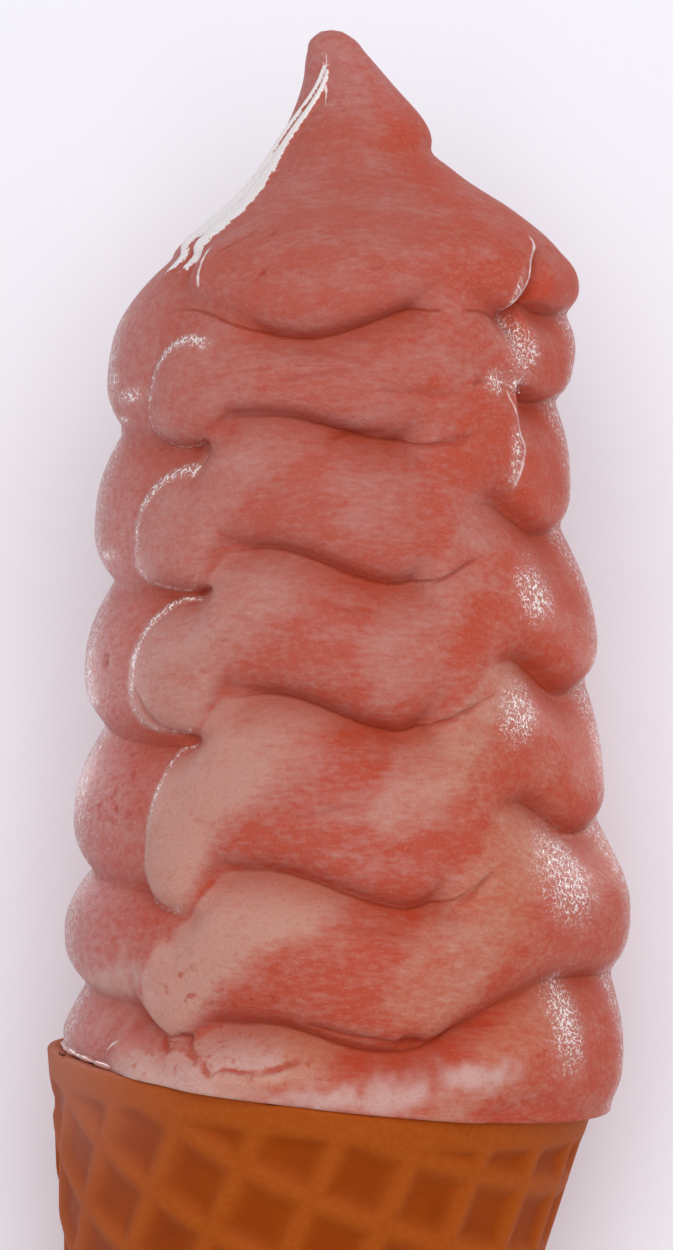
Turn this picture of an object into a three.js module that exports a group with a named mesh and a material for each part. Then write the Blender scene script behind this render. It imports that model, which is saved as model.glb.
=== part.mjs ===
// A tall strawberry soft serve in a rolled sugar cone, lying on its back with its front up.
// Lengths are in millimetres and angles in degrees.
//
// The treat is worked out standing: +Z runs up the swirl from the middle of the cone's rim, +X is to the
// right of its front and -Y is its front. Bearings are counted from the front, to the right and round.
// At the end it is laid on its back: the peak then points along +Y, the front faces +Z, and it rests on
// the cone's rim and tip and on the pressed back of its lowest turn. The origin is under the middle of
// its box.
//
// The swirl is one body. A single rope of soft serve is coiled upwards, and each turn of the coil is
// folded into six lobes that stand in columns. A lobe is a pillow between two creases: its left end is a
// round nose that lies over the next lobe, and its right end is tucked under the nose of the lobe on its
// right. A plain sheet, drawn up to the peak, caps the coil.

import * as THREE from "three";

// Cone
const RIM_RADIUS = 28.7; // outside of the band at the rim
const CONE_LENGTH = 134; // rim to tip, along the cone
const TIP_RADIUS = 2.6; // outside of the wall where it closes to the tip
const TIP_ROUNDING = 2; // the wall starts to close this far above the tip
const WALL = 1.5; // thickness of the rolled wafer
const BAND = 3.3; // height of the plain band under the rim
const BAND_PROUD = 0.4; // how far the band stands out from the wall below it
const RIM_EDGE = 0.5; // the rim's outer edge is broken by this much
const LEAN = 6.5; // the cone's tip swings this far to the left
const PITCH = 1.8; // and this far back, about the front of the rim
const SEAM_BEARING = 215; // where the outer edge of the rolled wafer lies at the rim
const SEAM_TWIST = 50; // how far the seam runs round on its way to the tip
const SEAM_STEP = 1.2; // height of the seam's edge
const SEAM_FADE = 100; // the overlap thins away over this bearing
const CONE_COLUMNS = 60;
const CONE_ROWS = 5; // rings of the wall between the band and the tip

// Swirl
const GAP = 0.3; // between the soft serve and the wafer
const PEAK_HEIGHT = 110.6; // above the middle of the rim
const PEAK_TIP = 0.15; // how far the pole stands above the last ring
const PLUG_END = 12; // the filling ends this far above the cone's tip
const LOBES_PER_TURN = 6;
const CREASE_DEPTH = 4; // from a lobe's crown down to the crease
const FULL_DEPTH_RADIUS = 20; // where the swirl is thinner than this, its creases are shallower
const CROWN = 1.1; // the relief at which the surface reaches the outline
const SAG = 1.3; // how far the crown of a lobe hangs below its middle
const WEDGE_TOP = 16; // the lowest turn takes up the cone's tilt below this height
const SKIRT_TUCK = 0.4; // how far the swirl's lowest edge is tucked in
const CREST = 2.45; // the front creases rise this far above their mean
const CREASE_MIDDLE = 0.5; // the middle of their wave
const NOSE_DROP = 2.6; // how far a full nose hangs below its crease's mean
const OVER_NOSE = 0.3; // how far a nose lies over the next lobe, as a share of the depth
const UNDER_NOSE = 0.36; // how far a lobe is tucked under a nose
const BRIDGE = 0.72; // the rise of the bridge between two lobes, where a crease is broken
const FULL_THICKNESS = 15; // turns thinner than this have flatter waves
const TALL_LOBE = 23; // the lobe at the top left, which has no crease before the cap
const CLIMBING_CREASE = 1; // the lowest crease right of the front climbs without a break
const CLIMB = 5.6; // how far it climbs
const LOW_NOSE_RISE = 3; // the edge of the lowest front nose turns up by this much
const FOOT_FILL = 0.85; // the lowest edge is filled to this share of the depth, all round the rim
const FOOT_FILL_TOP = 3; // the filling has died away at this height
const EDGE_POWER = 2.6; // the cap rises from its lower edge by this power, nearly as an ellipse does
const UPPER_POWER = 2.2; // for a lobe's upper edge, which slopes gently
const LOWER_POWER = 3.4; // and for its lower edge, which hangs over
const COLUMN_MIDDLE = 0.97; // a lobe's middle lies this share of its half width from its column's edge
const LOBE_WANDER = 1.5; // lobes stand out of line by up to this angle
const NOSE_LENGTH = 0.64; // a full nose reaches this share of half a width past its column's edge
const BLUNT_END = 0.14; // what a lobe without a nose reaches past it
const TUCKED_END = 0.45; // a lobe's right end runs this far under the next lobe
const BRIDGE_WIDTH = 11;
const BRIDGE_HEIGHT = 2.9;
const SWIRL_COLUMNS = 78;
const SWIRL_RINGS = 49;
const CROWDING = 0.4; // how much closer the columns stand at the front
const BLEND_POWER = 24; // touching lobes are blended by a power mean of this power

// Heights of the creases at the front, one for each turn of the rope, from below the rim to the cap.
const TURN_HEIGHTS = [-9, 6.1, 21.4, 39.5, 53.8, 68.2, 78.3, 88, 95];

// A column of lobes. Places across it run from -1 to 1 over its width.
//   start, half: the bearing of its left edge, and half its width
//   lift, lowLift: how much higher its creases lie than an even climb puts them, and its lowest creases
//   nose: how far its noses reach, from 0 to 1
//   crestAt, swing: where a crease starts to fall from its crest, and the length of its wave
//   recovery, tall: how much of the fall it regains, and the size of the wave
//   roundness: how round the lobes bulge, from 0 for flat pillows
//   opens, closes: the places where its creases fade in and out
//   shallow, shallowAt: how much shallower they are about a place
//   shifts: further lifts of its creases, from the lowest up
const column = (settings) => ({
  crestAt: -0.5,
  swing: 2.1,
  recovery: 1,
  tall: 1,
  roundness: 0.6,
  opens: null,
  closes: null,
  shallow: 0,
  shallowAt: 0.15,
  shifts: [],
  ...settings,
});
const FRONT = column({
  start: -33,
  half: 30,
  lift: 0,
  lowLift: 0,
  nose: 1,
  roundness: 0.35,
  closes: [0.8, 1.3],
});
const FRONT_RIGHT = column({
  start: 26,
  half: 37,
  lift: 1.4,
  lowLift: 1,
  nose: 0.15,
  crestAt: -0.62,
  swing: 1.3,
  recovery: 0.45,
  roundness: 0.5,
  opens: [-1, -0.35],
  shallow: 0.55,
  shallowAt: 0.95,
  shifts: [-0.3, 2.2, -0.8, 1.3, 0.7],
});
const BACK_RIGHT = column({ start: 112, half: 23, lift: 2.6, lowLift: 1.2, nose: 0.7 });
const BACK = column({ start: 158, half: 23.5, lift: 1.8, lowLift: 1, nose: 0.8 });
const BACK_LEFT = column({ start: 205, half: 23.5, lift: 1.2, lowLift: 1.5, nose: 0.7 });
const FRONT_LEFT = column({
  start: 252,
  half: 37.5,
  lift: 0.9,
  lowLift: 2.8,
  nose: 0.8,
  crestAt: -0.45,
  swing: 2.4,
  tall: 0.65,
  shallow: 0.45,
  shifts: [3.2, 0.6, -0.7, -0.2, 0.8],
});
const COLUMNS = [FRONT, FRONT_RIGHT, BACK_RIGHT, BACK, BACK_LEFT, FRONT_LEFT];

// The cap's front sheet: bearings of its edges, how far they turn on the way up, and its lower edge.
const SHEET = { left: -55, right: 50, leftTurn: 46, rightTurn: 46, foot: 79.2, wave: 1.9 };
const SHEET_CLIMB = 8; // the sheet reaches its full height this far above its lower edge
const CAP_FOOT = 86.5; // the back of the cap starts at this height
const CAP_CLIMB = 6;
const LIP = 0.55; // two ridges along the sheet's left edge stand out this far

// The outline over the crowns: height, radius, and how far the middle lies to the right of the rim's.
const OUTLINE = [
  [0, 29.7, 2.1],
  [13, 30.1, 2.8],
  [21, 30.2, 3],
  [28, 29, 2.5],
  [37, 27.9, 2.25],
  [46, 27.6, 2.5],
  [62, 25.6, 1.6],
  [75, 25.1, 2.1],
  [82, 24.7, 3.4],
  [88, 21.8, 4.8],
  [92.5, 15.8, 4.9],
  [96, 11, 3.9],
  [101, 7.2, 3.4],
  [105.5, 4.7, 2.7],
  [108.6, 3.1, 1.6],
  [110, 2.2, 1.2],
  [PEAK_HEIGHT, 1.2, 1.1],
];
const BACK_BULGE = 3.4; // the lowest turns stand out this much further at the back
const BACK_BULGE_TOP = 34; // the bulge has died away at this height
const FOOT_BULGE = 2.2; // the lowest edge spreads this far over the rim at the left
const FLAP_BEARING = 85; // right of the peak, where the sheet's end makes a step
const FLAP_HEIGHT = 101.8;
const FLAP_WIDTH = 50;

// Lying down
const WORN_FLAT = 0.2; // the rim and the tip are worn flat this deep where they lie

const SOFT_SERVE = new THREE.MeshStandardMaterial({ color: 0xb5604f, roughness: 0.45 });
const SUGAR_WAFER = new THREE.MeshStandardMaterial({ color: 0xa85a1c, roughness: 0.7 });

const X_AXIS = new THREE.Vector3(1, 0, 0);
const Y_AXIS = new THREE.Vector3(0, 1, 0);
const rad = THREE.MathUtils.degToRad;
const smooth = THREE.MathUtils.smoothstep;
const clamp = THREE.MathUtils.clamp;
const bell = (value, middle, width) => Math.exp(-(((value - middle) / width) ** 2));

// A number that looks random, between -1 and 1, the same each time for the same seed.
function uneven(seed) {
  const noise = Math.sin(seed * 127.1 + 11.7) * 43758.5453;
  return 2 * (noise - Math.floor(noise)) - 1;
}

// The difference of two bearings, from -180 to 180.
function turnBetween(from, to) {
  return THREE.MathUtils.euclideanModulo(to - from + 180, 360) - 180;
}

const outline = new THREE.CubicInterpolant(
  OUTLINE.map((point) => point[0]),
  OUTLINE.flatMap((point) => point.slice(1)),
  2,
);
const creaseHeights = new THREE.CubicInterpolant(
  TURN_HEIGHTS.map((_, turn) => turn - 1),
  TURN_HEIGHTS,
  1,
);

const columnOf = (lobe) => COLUMNS[THREE.MathUtils.euclideanModulo(lobe, LOBES_PER_TURN)];

// The mean height of the crease below a lobe, which is numbered along the rope.
function creaseHeight(lobe) {
  const turns = clamp(lobe / LOBES_PER_TURN, -1, TURN_HEIGHTS.length - 2);
  const height = creaseHeights.evaluate(turns)[0];
  const { lift, lowLift, shifts } = columnOf(lobe);
  const shift = shifts[Math.floor((lobe + 1) / LOBES_PER_TURN)] ?? 0;
  const cap = TURN_HEIGHTS.at(-1);
  return height + lift * smooth(cap - height, 0, 12) + lowLift * (1 - smooth(height, 8, 40)) + shift;
}

// How far below its crease's mean a nose's lower edge lies.
function noseFall(nose) {
  return NOSE_DROP * (0.4 + 0.6 * nose);
}

// How far a crease lies above its mean at a place across a lobe. It keeps to its crest on the left, falls
// and rises again by a cosine to the right, and steps down to the nose at the column's left edge.
function creaseWave(lobe, across, nose) {
  if (lobe === CLIMBING_CREASE) return 1.6 - CLIMB * (1 - smooth(across, -1.3, -0.3));
  const { crestAt, swing, recovery, tall } = columnOf(lobe);
  const share = clamp((across - crestAt) / swing, 0, 1);
  let wave = Math.cos(2 * Math.PI * share);
  if (share > 0.5) wave = (wave + 1) * recovery - 1;
  let above = tall * (CREASE_MIDDLE + (CREST - CREASE_MIDDLE) * wave);
  const step = smooth(-across, 0.76, 1.14);
  if (lobe === CLIMBING_CREASE - 1) {
    above += smooth(across, 0, 0.6);
    return above * (1 - step) + LOW_NOSE_RISE * smooth(-across, 1.1, 1.5) * step;
  }
  return above * (1 - step) - noseFall(nose) * step;
}

// How far open the crease below a lobe is, from 0 to 1, at a place across it.
function openness(lobe, across) {
  const { shallow, shallowAt, opens, closes } = columnOf(lobe);
  let open = 1 - shallow * bell(across, shallowAt, 0.6);
  if (lobe === CLIMBING_CREASE || lobe === CLIMBING_CREASE - 1) return open;
  if (opens) open *= smooth(across, ...opens);
  if (closes) open *= 1 - smooth(across, ...closes);
  return open;
}

// The bearings of the cap sheet's two edges at a height.
function sheetSides(height) {
  const left = SHEET.left + SHEET.leftTurn * smooth(height, 97, 110);
  const right = SHEET.right + SHEET.rightTurn * smooth(height, 82, 92);
  return [left, right];
}

// The place across the cap's front sheet, from -1 at its left edge to 1 at its right.
function acrossSheet(bearing, height) {
  const [left, right] = sheetSides(height);
  return (2 * turnBetween((left + right) / 2, bearing)) / (right - left);
}

// The height of the sheet's lower edge at a bearing: a wave of one and a half lengths.
function sheetEdge(bearing) {
  const across = turnBetween(0.5, bearing) / 57.5;
  return SHEET.foot - SHEET.wave * Math.cos(Math.PI * (1.55 * across + 0.3));
}

// The sheet's height over the creases, as a share of their depth.
function sheetHeight(bearing, height) {
  const across = acrossSheet(bearing, height);
  const climb = clamp((height - sheetEdge(bearing)) / SHEET_CLIMB, 0, 1);
  const inside = 1 - Math.abs(across) ** 12 - (1 - climb) ** EDGE_POWER;
  return climb > 0 && inside > 0 ? inside ** 0.5 * (1.1 - 0.07 * across) : 0;
}

// Two low ridges of melted, refrozen soft serve along the sheet's left edge, from 0 to 1.
function lips(bearing, height) {
  const narrowing = 0.45 * (1 - smooth(height, 98, 106)) - 0.5 * (1 - smooth(height, 86, 92));
  const away = turnBetween(sheetSides(height)[0], bearing) / (0.55 + narrowing);
  const ridges = Math.max(Math.exp(-(((away + 8) / 7) ** 4)), Math.exp(-(((away + 23) / 6) ** 4)));
  return ridges * smooth(height, 83, 87) * (1 - smooth(height, 105, 109));
}

// The height of one lobe and of the bridge at its lower left, as shares of the creases' depth.
function lobeHeights(lobe, bearing, height) {
  const { start, half, nose: reach, roundness, opens } = columnOf(lobe);
  const middle = start + COLUMN_MIDDLE * half;
  const across = turnBetween(middle + LOBE_WANDER * uneven(lobe), bearing) / half;
  const nose = reach * (0.92 + 0.12 * uneven(lobe + 0.5));
  const next = columnOf(lobe + 1);
  const end = turnBetween(middle, next.start) / half;
  const above = lobe + LOBES_PER_TURN * (lobe === TALL_LOBE ? 2 : 1);
  const low = creaseHeight(lobe);
  const high = creaseHeight(above);
  const share = Math.min(1, (high - low) / FULL_THICKNESS);
  const bottom = low + creaseWave(lobe, across, nose) * share;
  let top = high + creaseWave(above, across, nose) * share;
  const covered = Math.abs(acrossSheet(bearing, height)) < 1;
  if (covered && low > SHEET.foot - 4) return [0, 0];
  if (covered && Math.abs(high - SHEET.foot) < 7) top = sheetEdge(bearing);
  const up = (2 * height - top - bottom) / Math.max(top - bottom, 0.01);
  const left = Math.max(0, -across - 1) / (BLUNT_END + NOSE_LENGTH * nose);
  const right = Math.max(0, across - end + 0.05) / TUCKED_END;
  const open = openness(up > 0 ? above : lobe, across);
  const upright = open * Math.abs(up) ** (up > 0 ? UPPER_POWER : LOWER_POWER);
  const inside = 1 - left ** (2 + nose) - right ** 2.5 - upright;
  const tuck = UNDER_NOSE * next.nose * smooth(across, end - 1.1, end - 0.4);
  const proud = 1 + OVER_NOSE * nose * smooth(-across, 0.2, 1.4) - tuck;
  const shown = inside > 0 && Math.abs(up) < 1.4 && top > bottom;
  const pillow = shown ? (1 - roundness) * inside ** 0.5 + roundness * inside ** 1.3 : 0;
  const bridgeHeight = low + (share * (CREST - noseFall(nose))) / 2;
  const width = bell(across, -COLUMN_MIDDLE, BRIDGE_WIDTH / half);
  const bridge = BRIDGE * width * bell(height, bridgeHeight, BRIDGE_HEIGHT * share);
  return [pillow * proud, opens ? 0 : bridge];
}

// The height of the swirl's surface over its creases at a bearing and height.
function relief(bearing, height) {
  const capClimb = clamp((height - CAP_FOOT) / CAP_CLIMB, 0, 1);
  const foot = FOOT_FILL * (1 - smooth(height, 0.5, FOOT_FILL_TOP));
  const back = Math.sqrt(1 - (1 - capClimb) ** EDGE_POWER);
  const heights = [foot, back, sheetHeight(bearing, height)];
  const last = (TURN_HEIGHTS.length - 3) * LOBES_PER_TURN;
  for (let lobe = -LOBES_PER_TURN - 2; lobe <= last; lobe += 1)
    if (lobe !== TALL_LOBE + LOBES_PER_TURN) heights.push(...lobeHeights(lobe, bearing, height));
  // Lobes that touch are blended, which rounds the groove between them.
  return heights.reduce((sum, h) => sum + h ** BLEND_POWER, 0) ** (1 / BLEND_POWER);
}

// A point of the cone's own space in the swirl's space: the cone is pitched about the front of its rim,
// and then leans about the rim's middle.
function tilted(x, y, z) {
  const point = new THREE.Vector3(x, y + RIM_RADIUS, z).applyAxisAngle(X_AXIS, rad(PITCH));
  point.y -= RIM_RADIUS;
  return point.applyAxisAngle(Y_AXIS, rad(LEAN));
}

// A point at a bearing, a radius and a height round the z axis.
function around(bearing, radius, height) {
  return [radius * Math.sin(rad(bearing)), -radius * Math.cos(rad(bearing)), height];
}

// The outer radius of the cone's wall at a depth below the rim, without the band.
function wallRadius(depth) {
  return THREE.MathUtils.lerp(RIM_RADIUS - BAND_PROUD, TIP_RADIUS, depth / CONE_LENGTH);
}

// A closed skin of rings, stacked from a bottom pole to a top pole. place(bearing, ring) gives a point.
// The columns stand closer together at the front by the share of crowding.
function skin({ columns, rings, crowding = 0 }, bottom, top, place) {
  const points = [bottom];
  for (let ring = 0; ring < rings; ring += 1)
    for (let column = 0; column < columns; column += 1) {
      const share = column / columns;
      const bearing = 360 * (share - (crowding * Math.sin(2 * Math.PI * share)) / (2 * Math.PI));
      points.push(place(bearing, ring));
    }
  points.push(top);
  const at = (ring, column) => 1 + ring * columns + (column % columns);
  const faces = [];
  for (let column = 0; column < columns; column += 1) {
    faces.push(0, at(0, column + 1), at(0, column));
    for (let ring = 0; ring + 1 < rings; ring += 1) {
      const [left, right] = [at(ring, column), at(ring, column + 1)];
      const [upperLeft, upperRight] = [at(ring + 1, column), at(ring + 1, column + 1)];
      faces.push(left, right, upperRight, left, upperRight, upperLeft);
    }
    faces.push(points.length - 1, at(rings - 1, column), at(rings - 1, column + 1));
  }
  const geometry = new THREE.BufferGeometry().setFromPoints(points);
  geometry.setIndex(faces);
  return geometry;
}

// How much lower than its own height a point of the swirl lies, because the rim's plane is tilted. The
// lowest turn is a wedge that takes up the tilt.
function rimDrop(x, y, height) {
  const drop = x * Math.tan(rad(LEAN)) - ((y + RIM_RADIUS) * Math.tan(rad(PITCH))) / Math.cos(rad(LEAN));
  return drop * (1 - smooth(height, 0, WEDGE_TOP));
}

// The swirl's radius over its crowns at a bearing and height.
function crownRadius(radius, bearing, height) {
  const behind = Math.max(0, -Math.cos(rad(bearing)));
  const turned = turnBetween(0, bearing);
  const spread = 0.1 * smooth(turned, -120, -90) + 0.7 * smooth(turned, -60, -50);
  const left = spread * (1 - smooth(turned, -30, -5));
  const step = 0.9 * bell(height, FLAP_HEIGHT, 2.4) - 0.8 * bell(height, FLAP_HEIGHT - 3.6, 1.1);
  return (
    radius +
    BACK_BULGE * behind ** 2 * (1 - smooth(height, 16, BACK_BULGE_TOP)) +
    FOOT_BULGE * left * (1 - smooth(height, 2.5, 8)) +
    LIP * lips(bearing, height) +
    step * bell(turnBetween(FLAP_BEARING, bearing), 0, FLAP_WIDTH)
  );
}

// A point of the swirl's side. climb runs from 0 at the skirt on the rim to 1 at the peak.
function sidePoint(bearing, climb) {
  const height = PEAK_HEIGHT * climb;
  const [outlineRadius, shift] = outline.evaluate(height);
  const radius = crownRadius(outlineRadius, bearing, height);
  const crown = around(bearing, radius, 0);
  const bump = relief(bearing, height - rimDrop(crown[0] + shift, crown[1], height));
  const depth = CREASE_DEPTH * Math.min(1, radius / FULL_DEPTH_RADIUS);
  const rise = smooth(climb, 0, 0.05);
  const reach = Math.max(radius - depth * (CROWN - bump) - SKIRT_TUCK * (1 - rise), 0.4 * radius);
  const [x, y] = around(bearing, reach, 0);
  const sag = SAG * bump * (depth / CREASE_DEPTH) * rise;
  const z = height - rimDrop(x + shift, y, height) - sag + GAP * (1 - rise);
  return new THREE.Vector3(x + shift, y, z);
}

// The soft serve: a plug that fills the cone, a skirt that lies on its rim, and the swirl.
function makeSoftServe() {
  const plugDepth = CONE_LENGTH - PLUG_END;
  const plugRadius = (depth) => wallRadius(depth) - WALL - GAP;
  const peakShift = outline.evaluate(PEAK_HEIGHT)[1];
  const plug = [
    [plugRadius(plugDepth), -plugDepth],
    [plugRadius(0), 0],
    [plugRadius(0), GAP],
  ];
  return skin(
    { columns: SWIRL_COLUMNS, rings: plug.length + SWIRL_RINGS, crowding: CROWDING },
    tilted(0, 0, -plugDepth),
    new THREE.Vector3(peakShift, 0, PEAK_HEIGHT + PEAK_TIP),
    (bearing, ring) =>
      ring < plug.length
        ? tilted(...around(bearing, ...plug[ring]))
        : sidePoint(bearing, (ring - plug.length) / (SWIRL_RINGS - 1)),
  );
}

// How far the overlap of the rolled wafer stands out: a step at the seam that thins away past it.
function overlap(bearing, depth) {
  const seam = SEAM_BEARING + (SEAM_TWIST * depth) / CONE_LENGTH;
  const past = THREE.MathUtils.euclideanModulo(bearing - seam, 360);
  const flap = past < SEAM_FADE ? SEAM_STEP * (1 - past / SEAM_FADE) : 0;
  return flap * smooth(CONE_LENGTH - depth, 2, 14);
}

// The cone: a rolled wafer with a plain band at its rim, closed by a pressed round tip.
function makeCone() {
  const hollowDepth = CONE_LENGTH - PLUG_END + WALL;
  const outer = [
    [wallRadius(CONE_LENGTH) * 0.6, CONE_LENGTH - 0.6],
    [wallRadius(CONE_LENGTH), CONE_LENGTH - TIP_ROUNDING],
  ];
  for (let row = CONE_ROWS - 0.5; row > 0; row -= 1) {
    const depth = (CONE_LENGTH * row) / CONE_ROWS;
    outer.push([wallRadius(depth), depth]);
  }
  outer.push([wallRadius(BAND), BAND]);
  outer.push([wallRadius(BAND) + BAND_PROUD, BAND - BAND_PROUD]);
  outer.push([RIM_RADIUS, RIM_EDGE]);
  outer.push([RIM_RADIUS - RIM_EDGE, 0]);
  const inner = [
    [wallRadius(0) - WALL, 0],
    [wallRadius(hollowDepth) - WALL, hollowDepth],
  ];
  return skin(
    { columns: CONE_COLUMNS, rings: outer.length + inner.length },
    tilted(0, 0, -CONE_LENGTH),
    tilted(0, 0, -hollowDepth),
    (bearing, ring) => {
      if (ring >= outer.length) {
        const [radius, depth] = inner[ring - outer.length];
        return tilted(...around(bearing, radius, -depth));
      }
      const [radius, depth] = outer[ring];
      return tilted(...around(bearing, radius + overlap(bearing, depth), -depth));
    },
  );
}

// Presses what lies behind a plane flat onto it.
function pressFlat(geometry, plane) {
  const position = geometry.getAttribute("position");
  const point = new THREE.Vector3();
  for (let i = 0; i < position.count; i += 1) {
    point.fromBufferAttribute(position, i);
    if (plane.distanceToPoint(point) < 0) {
      plane.projectPoint(point, point);
      position.setXYZ(i, point.x, point.y, point.z);
    }
  }
}

// The surface that the treat lies on, in the swirl's space: along the back of the cone, from its rim to
// its tip. Its normal points at the treat.
function restingPlane() {
  const rim = tilted(0, RIM_RADIUS, -RIM_EDGE);
  const tip = tilted(0, TIP_RADIUS, TIP_ROUNDING - CONE_LENGTH);
  const along = new THREE.Vector2(rim.y - tip.y, rim.z - tip.z).normalize();
  const normal = new THREE.Vector3(0, -along.y, along.x);
  return new THREE.Plane().setFromNormalAndCoplanarPoint(normal, rim.addScaledVector(normal, WORN_FLAT));
}

// The two pieces, standing as they are eaten, with their backs pressed flat where they will lie.
function makeTreat(plane) {
  const pieces = [
    ["soft_serve", makeSoftServe(), SOFT_SERVE],
    ["cone", makeCone(), SUGAR_WAFER],
  ];
  const treat = new THREE.Group();
  for (const [name, geometry, material] of pieces) {
    pressFlat(geometry, plane);
    geometry.computeVertexNormals();
    const mesh = new THREE.Mesh(geometry, material);
    mesh.name = name;
    treat.add(mesh);
  }
  return treat;
}

// Turned so that the plane is level, and moved so that the bottom of its box is centred on the origin.
const plane = restingPlane();
const treat = makeTreat(plane);
treat.rotation.x = Math.atan2(plane.normal.y, plane.normal.z);
treat.updateMatrixWorld(true);
const box = new THREE.Box3().setFromObject(treat, true);
const middle = box.getCenter(new THREE.Vector3());
treat.position.set(-middle.x, -middle.y, -box.min.z);

export default treat;
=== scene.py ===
"""Dresses a tall strawberry soft serve in a rolled sugar cone, lying on its back, over its CAD model.

Shapes are worked out in millimetres in the treat's own standing space: +Z runs up the swirl from the
middle of the cone's rim, +X is to the right of its front and -Y is its front. Bearings are in degrees,
counted from the front, to the right and round. Standing carries the points into the frame, in metres.
"""

import logging
import math
from dataclasses import dataclass, field
from enum import Enum

import bpy
import numpy as np
from mathutils import Matrix, Vector


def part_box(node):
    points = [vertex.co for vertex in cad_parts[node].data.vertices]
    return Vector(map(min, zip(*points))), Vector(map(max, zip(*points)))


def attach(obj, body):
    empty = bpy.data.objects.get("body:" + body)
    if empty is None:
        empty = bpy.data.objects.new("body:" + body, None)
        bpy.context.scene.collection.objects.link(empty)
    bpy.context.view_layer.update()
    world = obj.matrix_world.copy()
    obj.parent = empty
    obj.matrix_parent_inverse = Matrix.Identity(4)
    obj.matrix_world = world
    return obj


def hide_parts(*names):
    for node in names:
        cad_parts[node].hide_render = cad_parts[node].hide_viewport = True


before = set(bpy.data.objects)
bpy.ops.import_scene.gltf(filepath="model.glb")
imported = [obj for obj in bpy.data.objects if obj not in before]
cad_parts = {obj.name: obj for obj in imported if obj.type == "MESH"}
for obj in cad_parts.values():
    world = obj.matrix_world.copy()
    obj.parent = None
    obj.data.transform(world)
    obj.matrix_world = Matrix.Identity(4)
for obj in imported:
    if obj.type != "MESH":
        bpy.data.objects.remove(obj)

log = logging.getLogger("soft_serve_cone")
Array = np.ndarray
Thing = bpy.types.Object
Material = bpy.types.Material

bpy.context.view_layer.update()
MM = 0.001  # a millimetre in the frame's metres


class Slot(Enum):
    """The material slots of the part."""

    SOFT_SERVE = "soft_serve"
    SUGAR_WAFER = "sugar_wafer"


# ---- Small helpers ----


def smooth(value: Array | float, low: float, high: float) -> Array | float:
    """The step 3t^2 - 2t^3 of t = (value - low) / (high - low), held between 0 and 1."""
    t = np.clip((np.asarray(value, dtype=float) - low) / (high - low), 0.0, 1.0)
    return t * t * (3.0 - 2.0 * t)


def fall(value: Array | float, low: float, high: float) -> Array | float:
    """The step down, which is 1 less the step up."""
    return 1 - smooth(value, low, high)


def bell(value: Array | float, middle: float, width: float, power: float = 2) -> Array | float:
    """The bell exp(-(|value - middle| / width)^power), whose top is the flatter the higher the power."""
    return np.exp(-(np.abs((np.asarray(value, dtype=float) - middle) / width) ** power))


def turn_between(start: Array | float, end: Array | float) -> Array | float:
    """The difference of two bearings, from -180 to 180 degrees."""
    return np.mod(np.asarray(end, dtype=float) - start + 180.0, 360.0) - 180.0


def around(bearing: Array, radius: Array, height: Array) -> Array:
    """Points at bearings, radii and heights round the z axis, stacked on the last axis."""
    angle = np.radians(bearing)
    return np.stack(np.broadcast_arrays(radius * np.sin(angle), -radius * np.cos(angle), height), axis=-1)


def linear(colour: str) -> tuple[float, float, float, float]:
    """A shader's colour in linear light, with an alpha of 1, from its sRGB hex code."""
    parts = [int(colour[i : i + 2], 16) / 255.0 for i in (1, 3, 5)]
    return (*[p / 12.92 if p <= 0.04045 else ((p + 0.055) / 1.055) ** 2.4 for p in parts], 1.0)


def spline(knots: Array, values: Array, at: Array) -> Array:
    """A Catmull-Rom curve through values at uneven knots, with straight ends.

    Between two knots it is the cubic Hermite curve whose slope at a knot is that of the chord between the
    knots on its two sides.

    Args:
        knots: rising positions.
        values: one row of values for each knot.
        at: where the curve is read.

    Returns:
        One row of values for each place in at.
    """
    slopes = np.gradient(values, knots, axis=0, edge_order=1)
    at = np.clip(at, knots[0], knots[-1])
    low = np.clip(np.searchsorted(knots, at, side="right") - 1, 0, len(knots) - 2)
    span = (knots[low + 1] - knots[low])[..., None]
    t = (at - knots[low])[..., None] / span
    return (
        values[low] * (2 * t**3 - 3 * t**2 + 1)
        + values[low + 1] * (3 * t**2 - 2 * t**3)
        + slopes[low] * span * (t**3 - 2 * t**2 + t)
        + slopes[low + 1] * span * (t**3 - t**2)
    )


def uneven(seed: float) -> float:
    """A number that looks random, between -1 and 1: twice the fraction of a large sine, less 1."""
    noise = math.sin(seed * 127.1 + 11.7) * 43758.5453
    return 2.0 * (noise - math.floor(noise)) - 1.0


def ripple(bearing: Array, height: Array, across: int, rows: float, seed: int) -> Array:
    """Smooth noise round the z axis: values on a lattice that closes round it, blended by smooth steps.

    Args:
        bearing: bearings in degrees.
        height: heights in millimetres.
        across: lattice cells in a full turn.
        rows: height of a lattice cell in millimetres.
        seed: picks the values.

    Returns:
        The noise at each point, between -1 and 1.
    """
    tall = 128
    lattice = np.random.default_rng(seed).uniform(-1.0, 1.0, (across, tall))
    u = np.mod(bearing / 360.0, 1.0) * across
    v = np.mod(height / rows + 40.0, tall)
    i, j = np.floor(u).astype(int), np.floor(v).astype(int)
    s, t = smooth(u - i, 0, 1), smooth(v - j, 0, 1)
    i, j, right, upper = i % across, j % tall, (i + 1) % across, (j + 1) % tall
    low = lattice[i, j] * (1 - s) + lattice[right, j] * s
    high = lattice[i, upper] * (1 - s) + lattice[right, upper] * s
    return low * (1 - t) + high * t


def averaged(grid: Array) -> Array:
    """Averages a field with its neighbours by the weights 1-2-1 along both directions of its grid.

    Args:
        grid: the field, whose columns close into a ring.

    Returns:
        The field after.
    """
    grid = (np.roll(grid, 1, axis=1) + 2 * grid + np.roll(grid, -1, axis=1)) / 4
    padded = np.concatenate([grid[:1], grid, grid[-1:]])
    return (padded[:-2] + 2 * padded[1:-1] + padded[2:]) / 4


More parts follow.
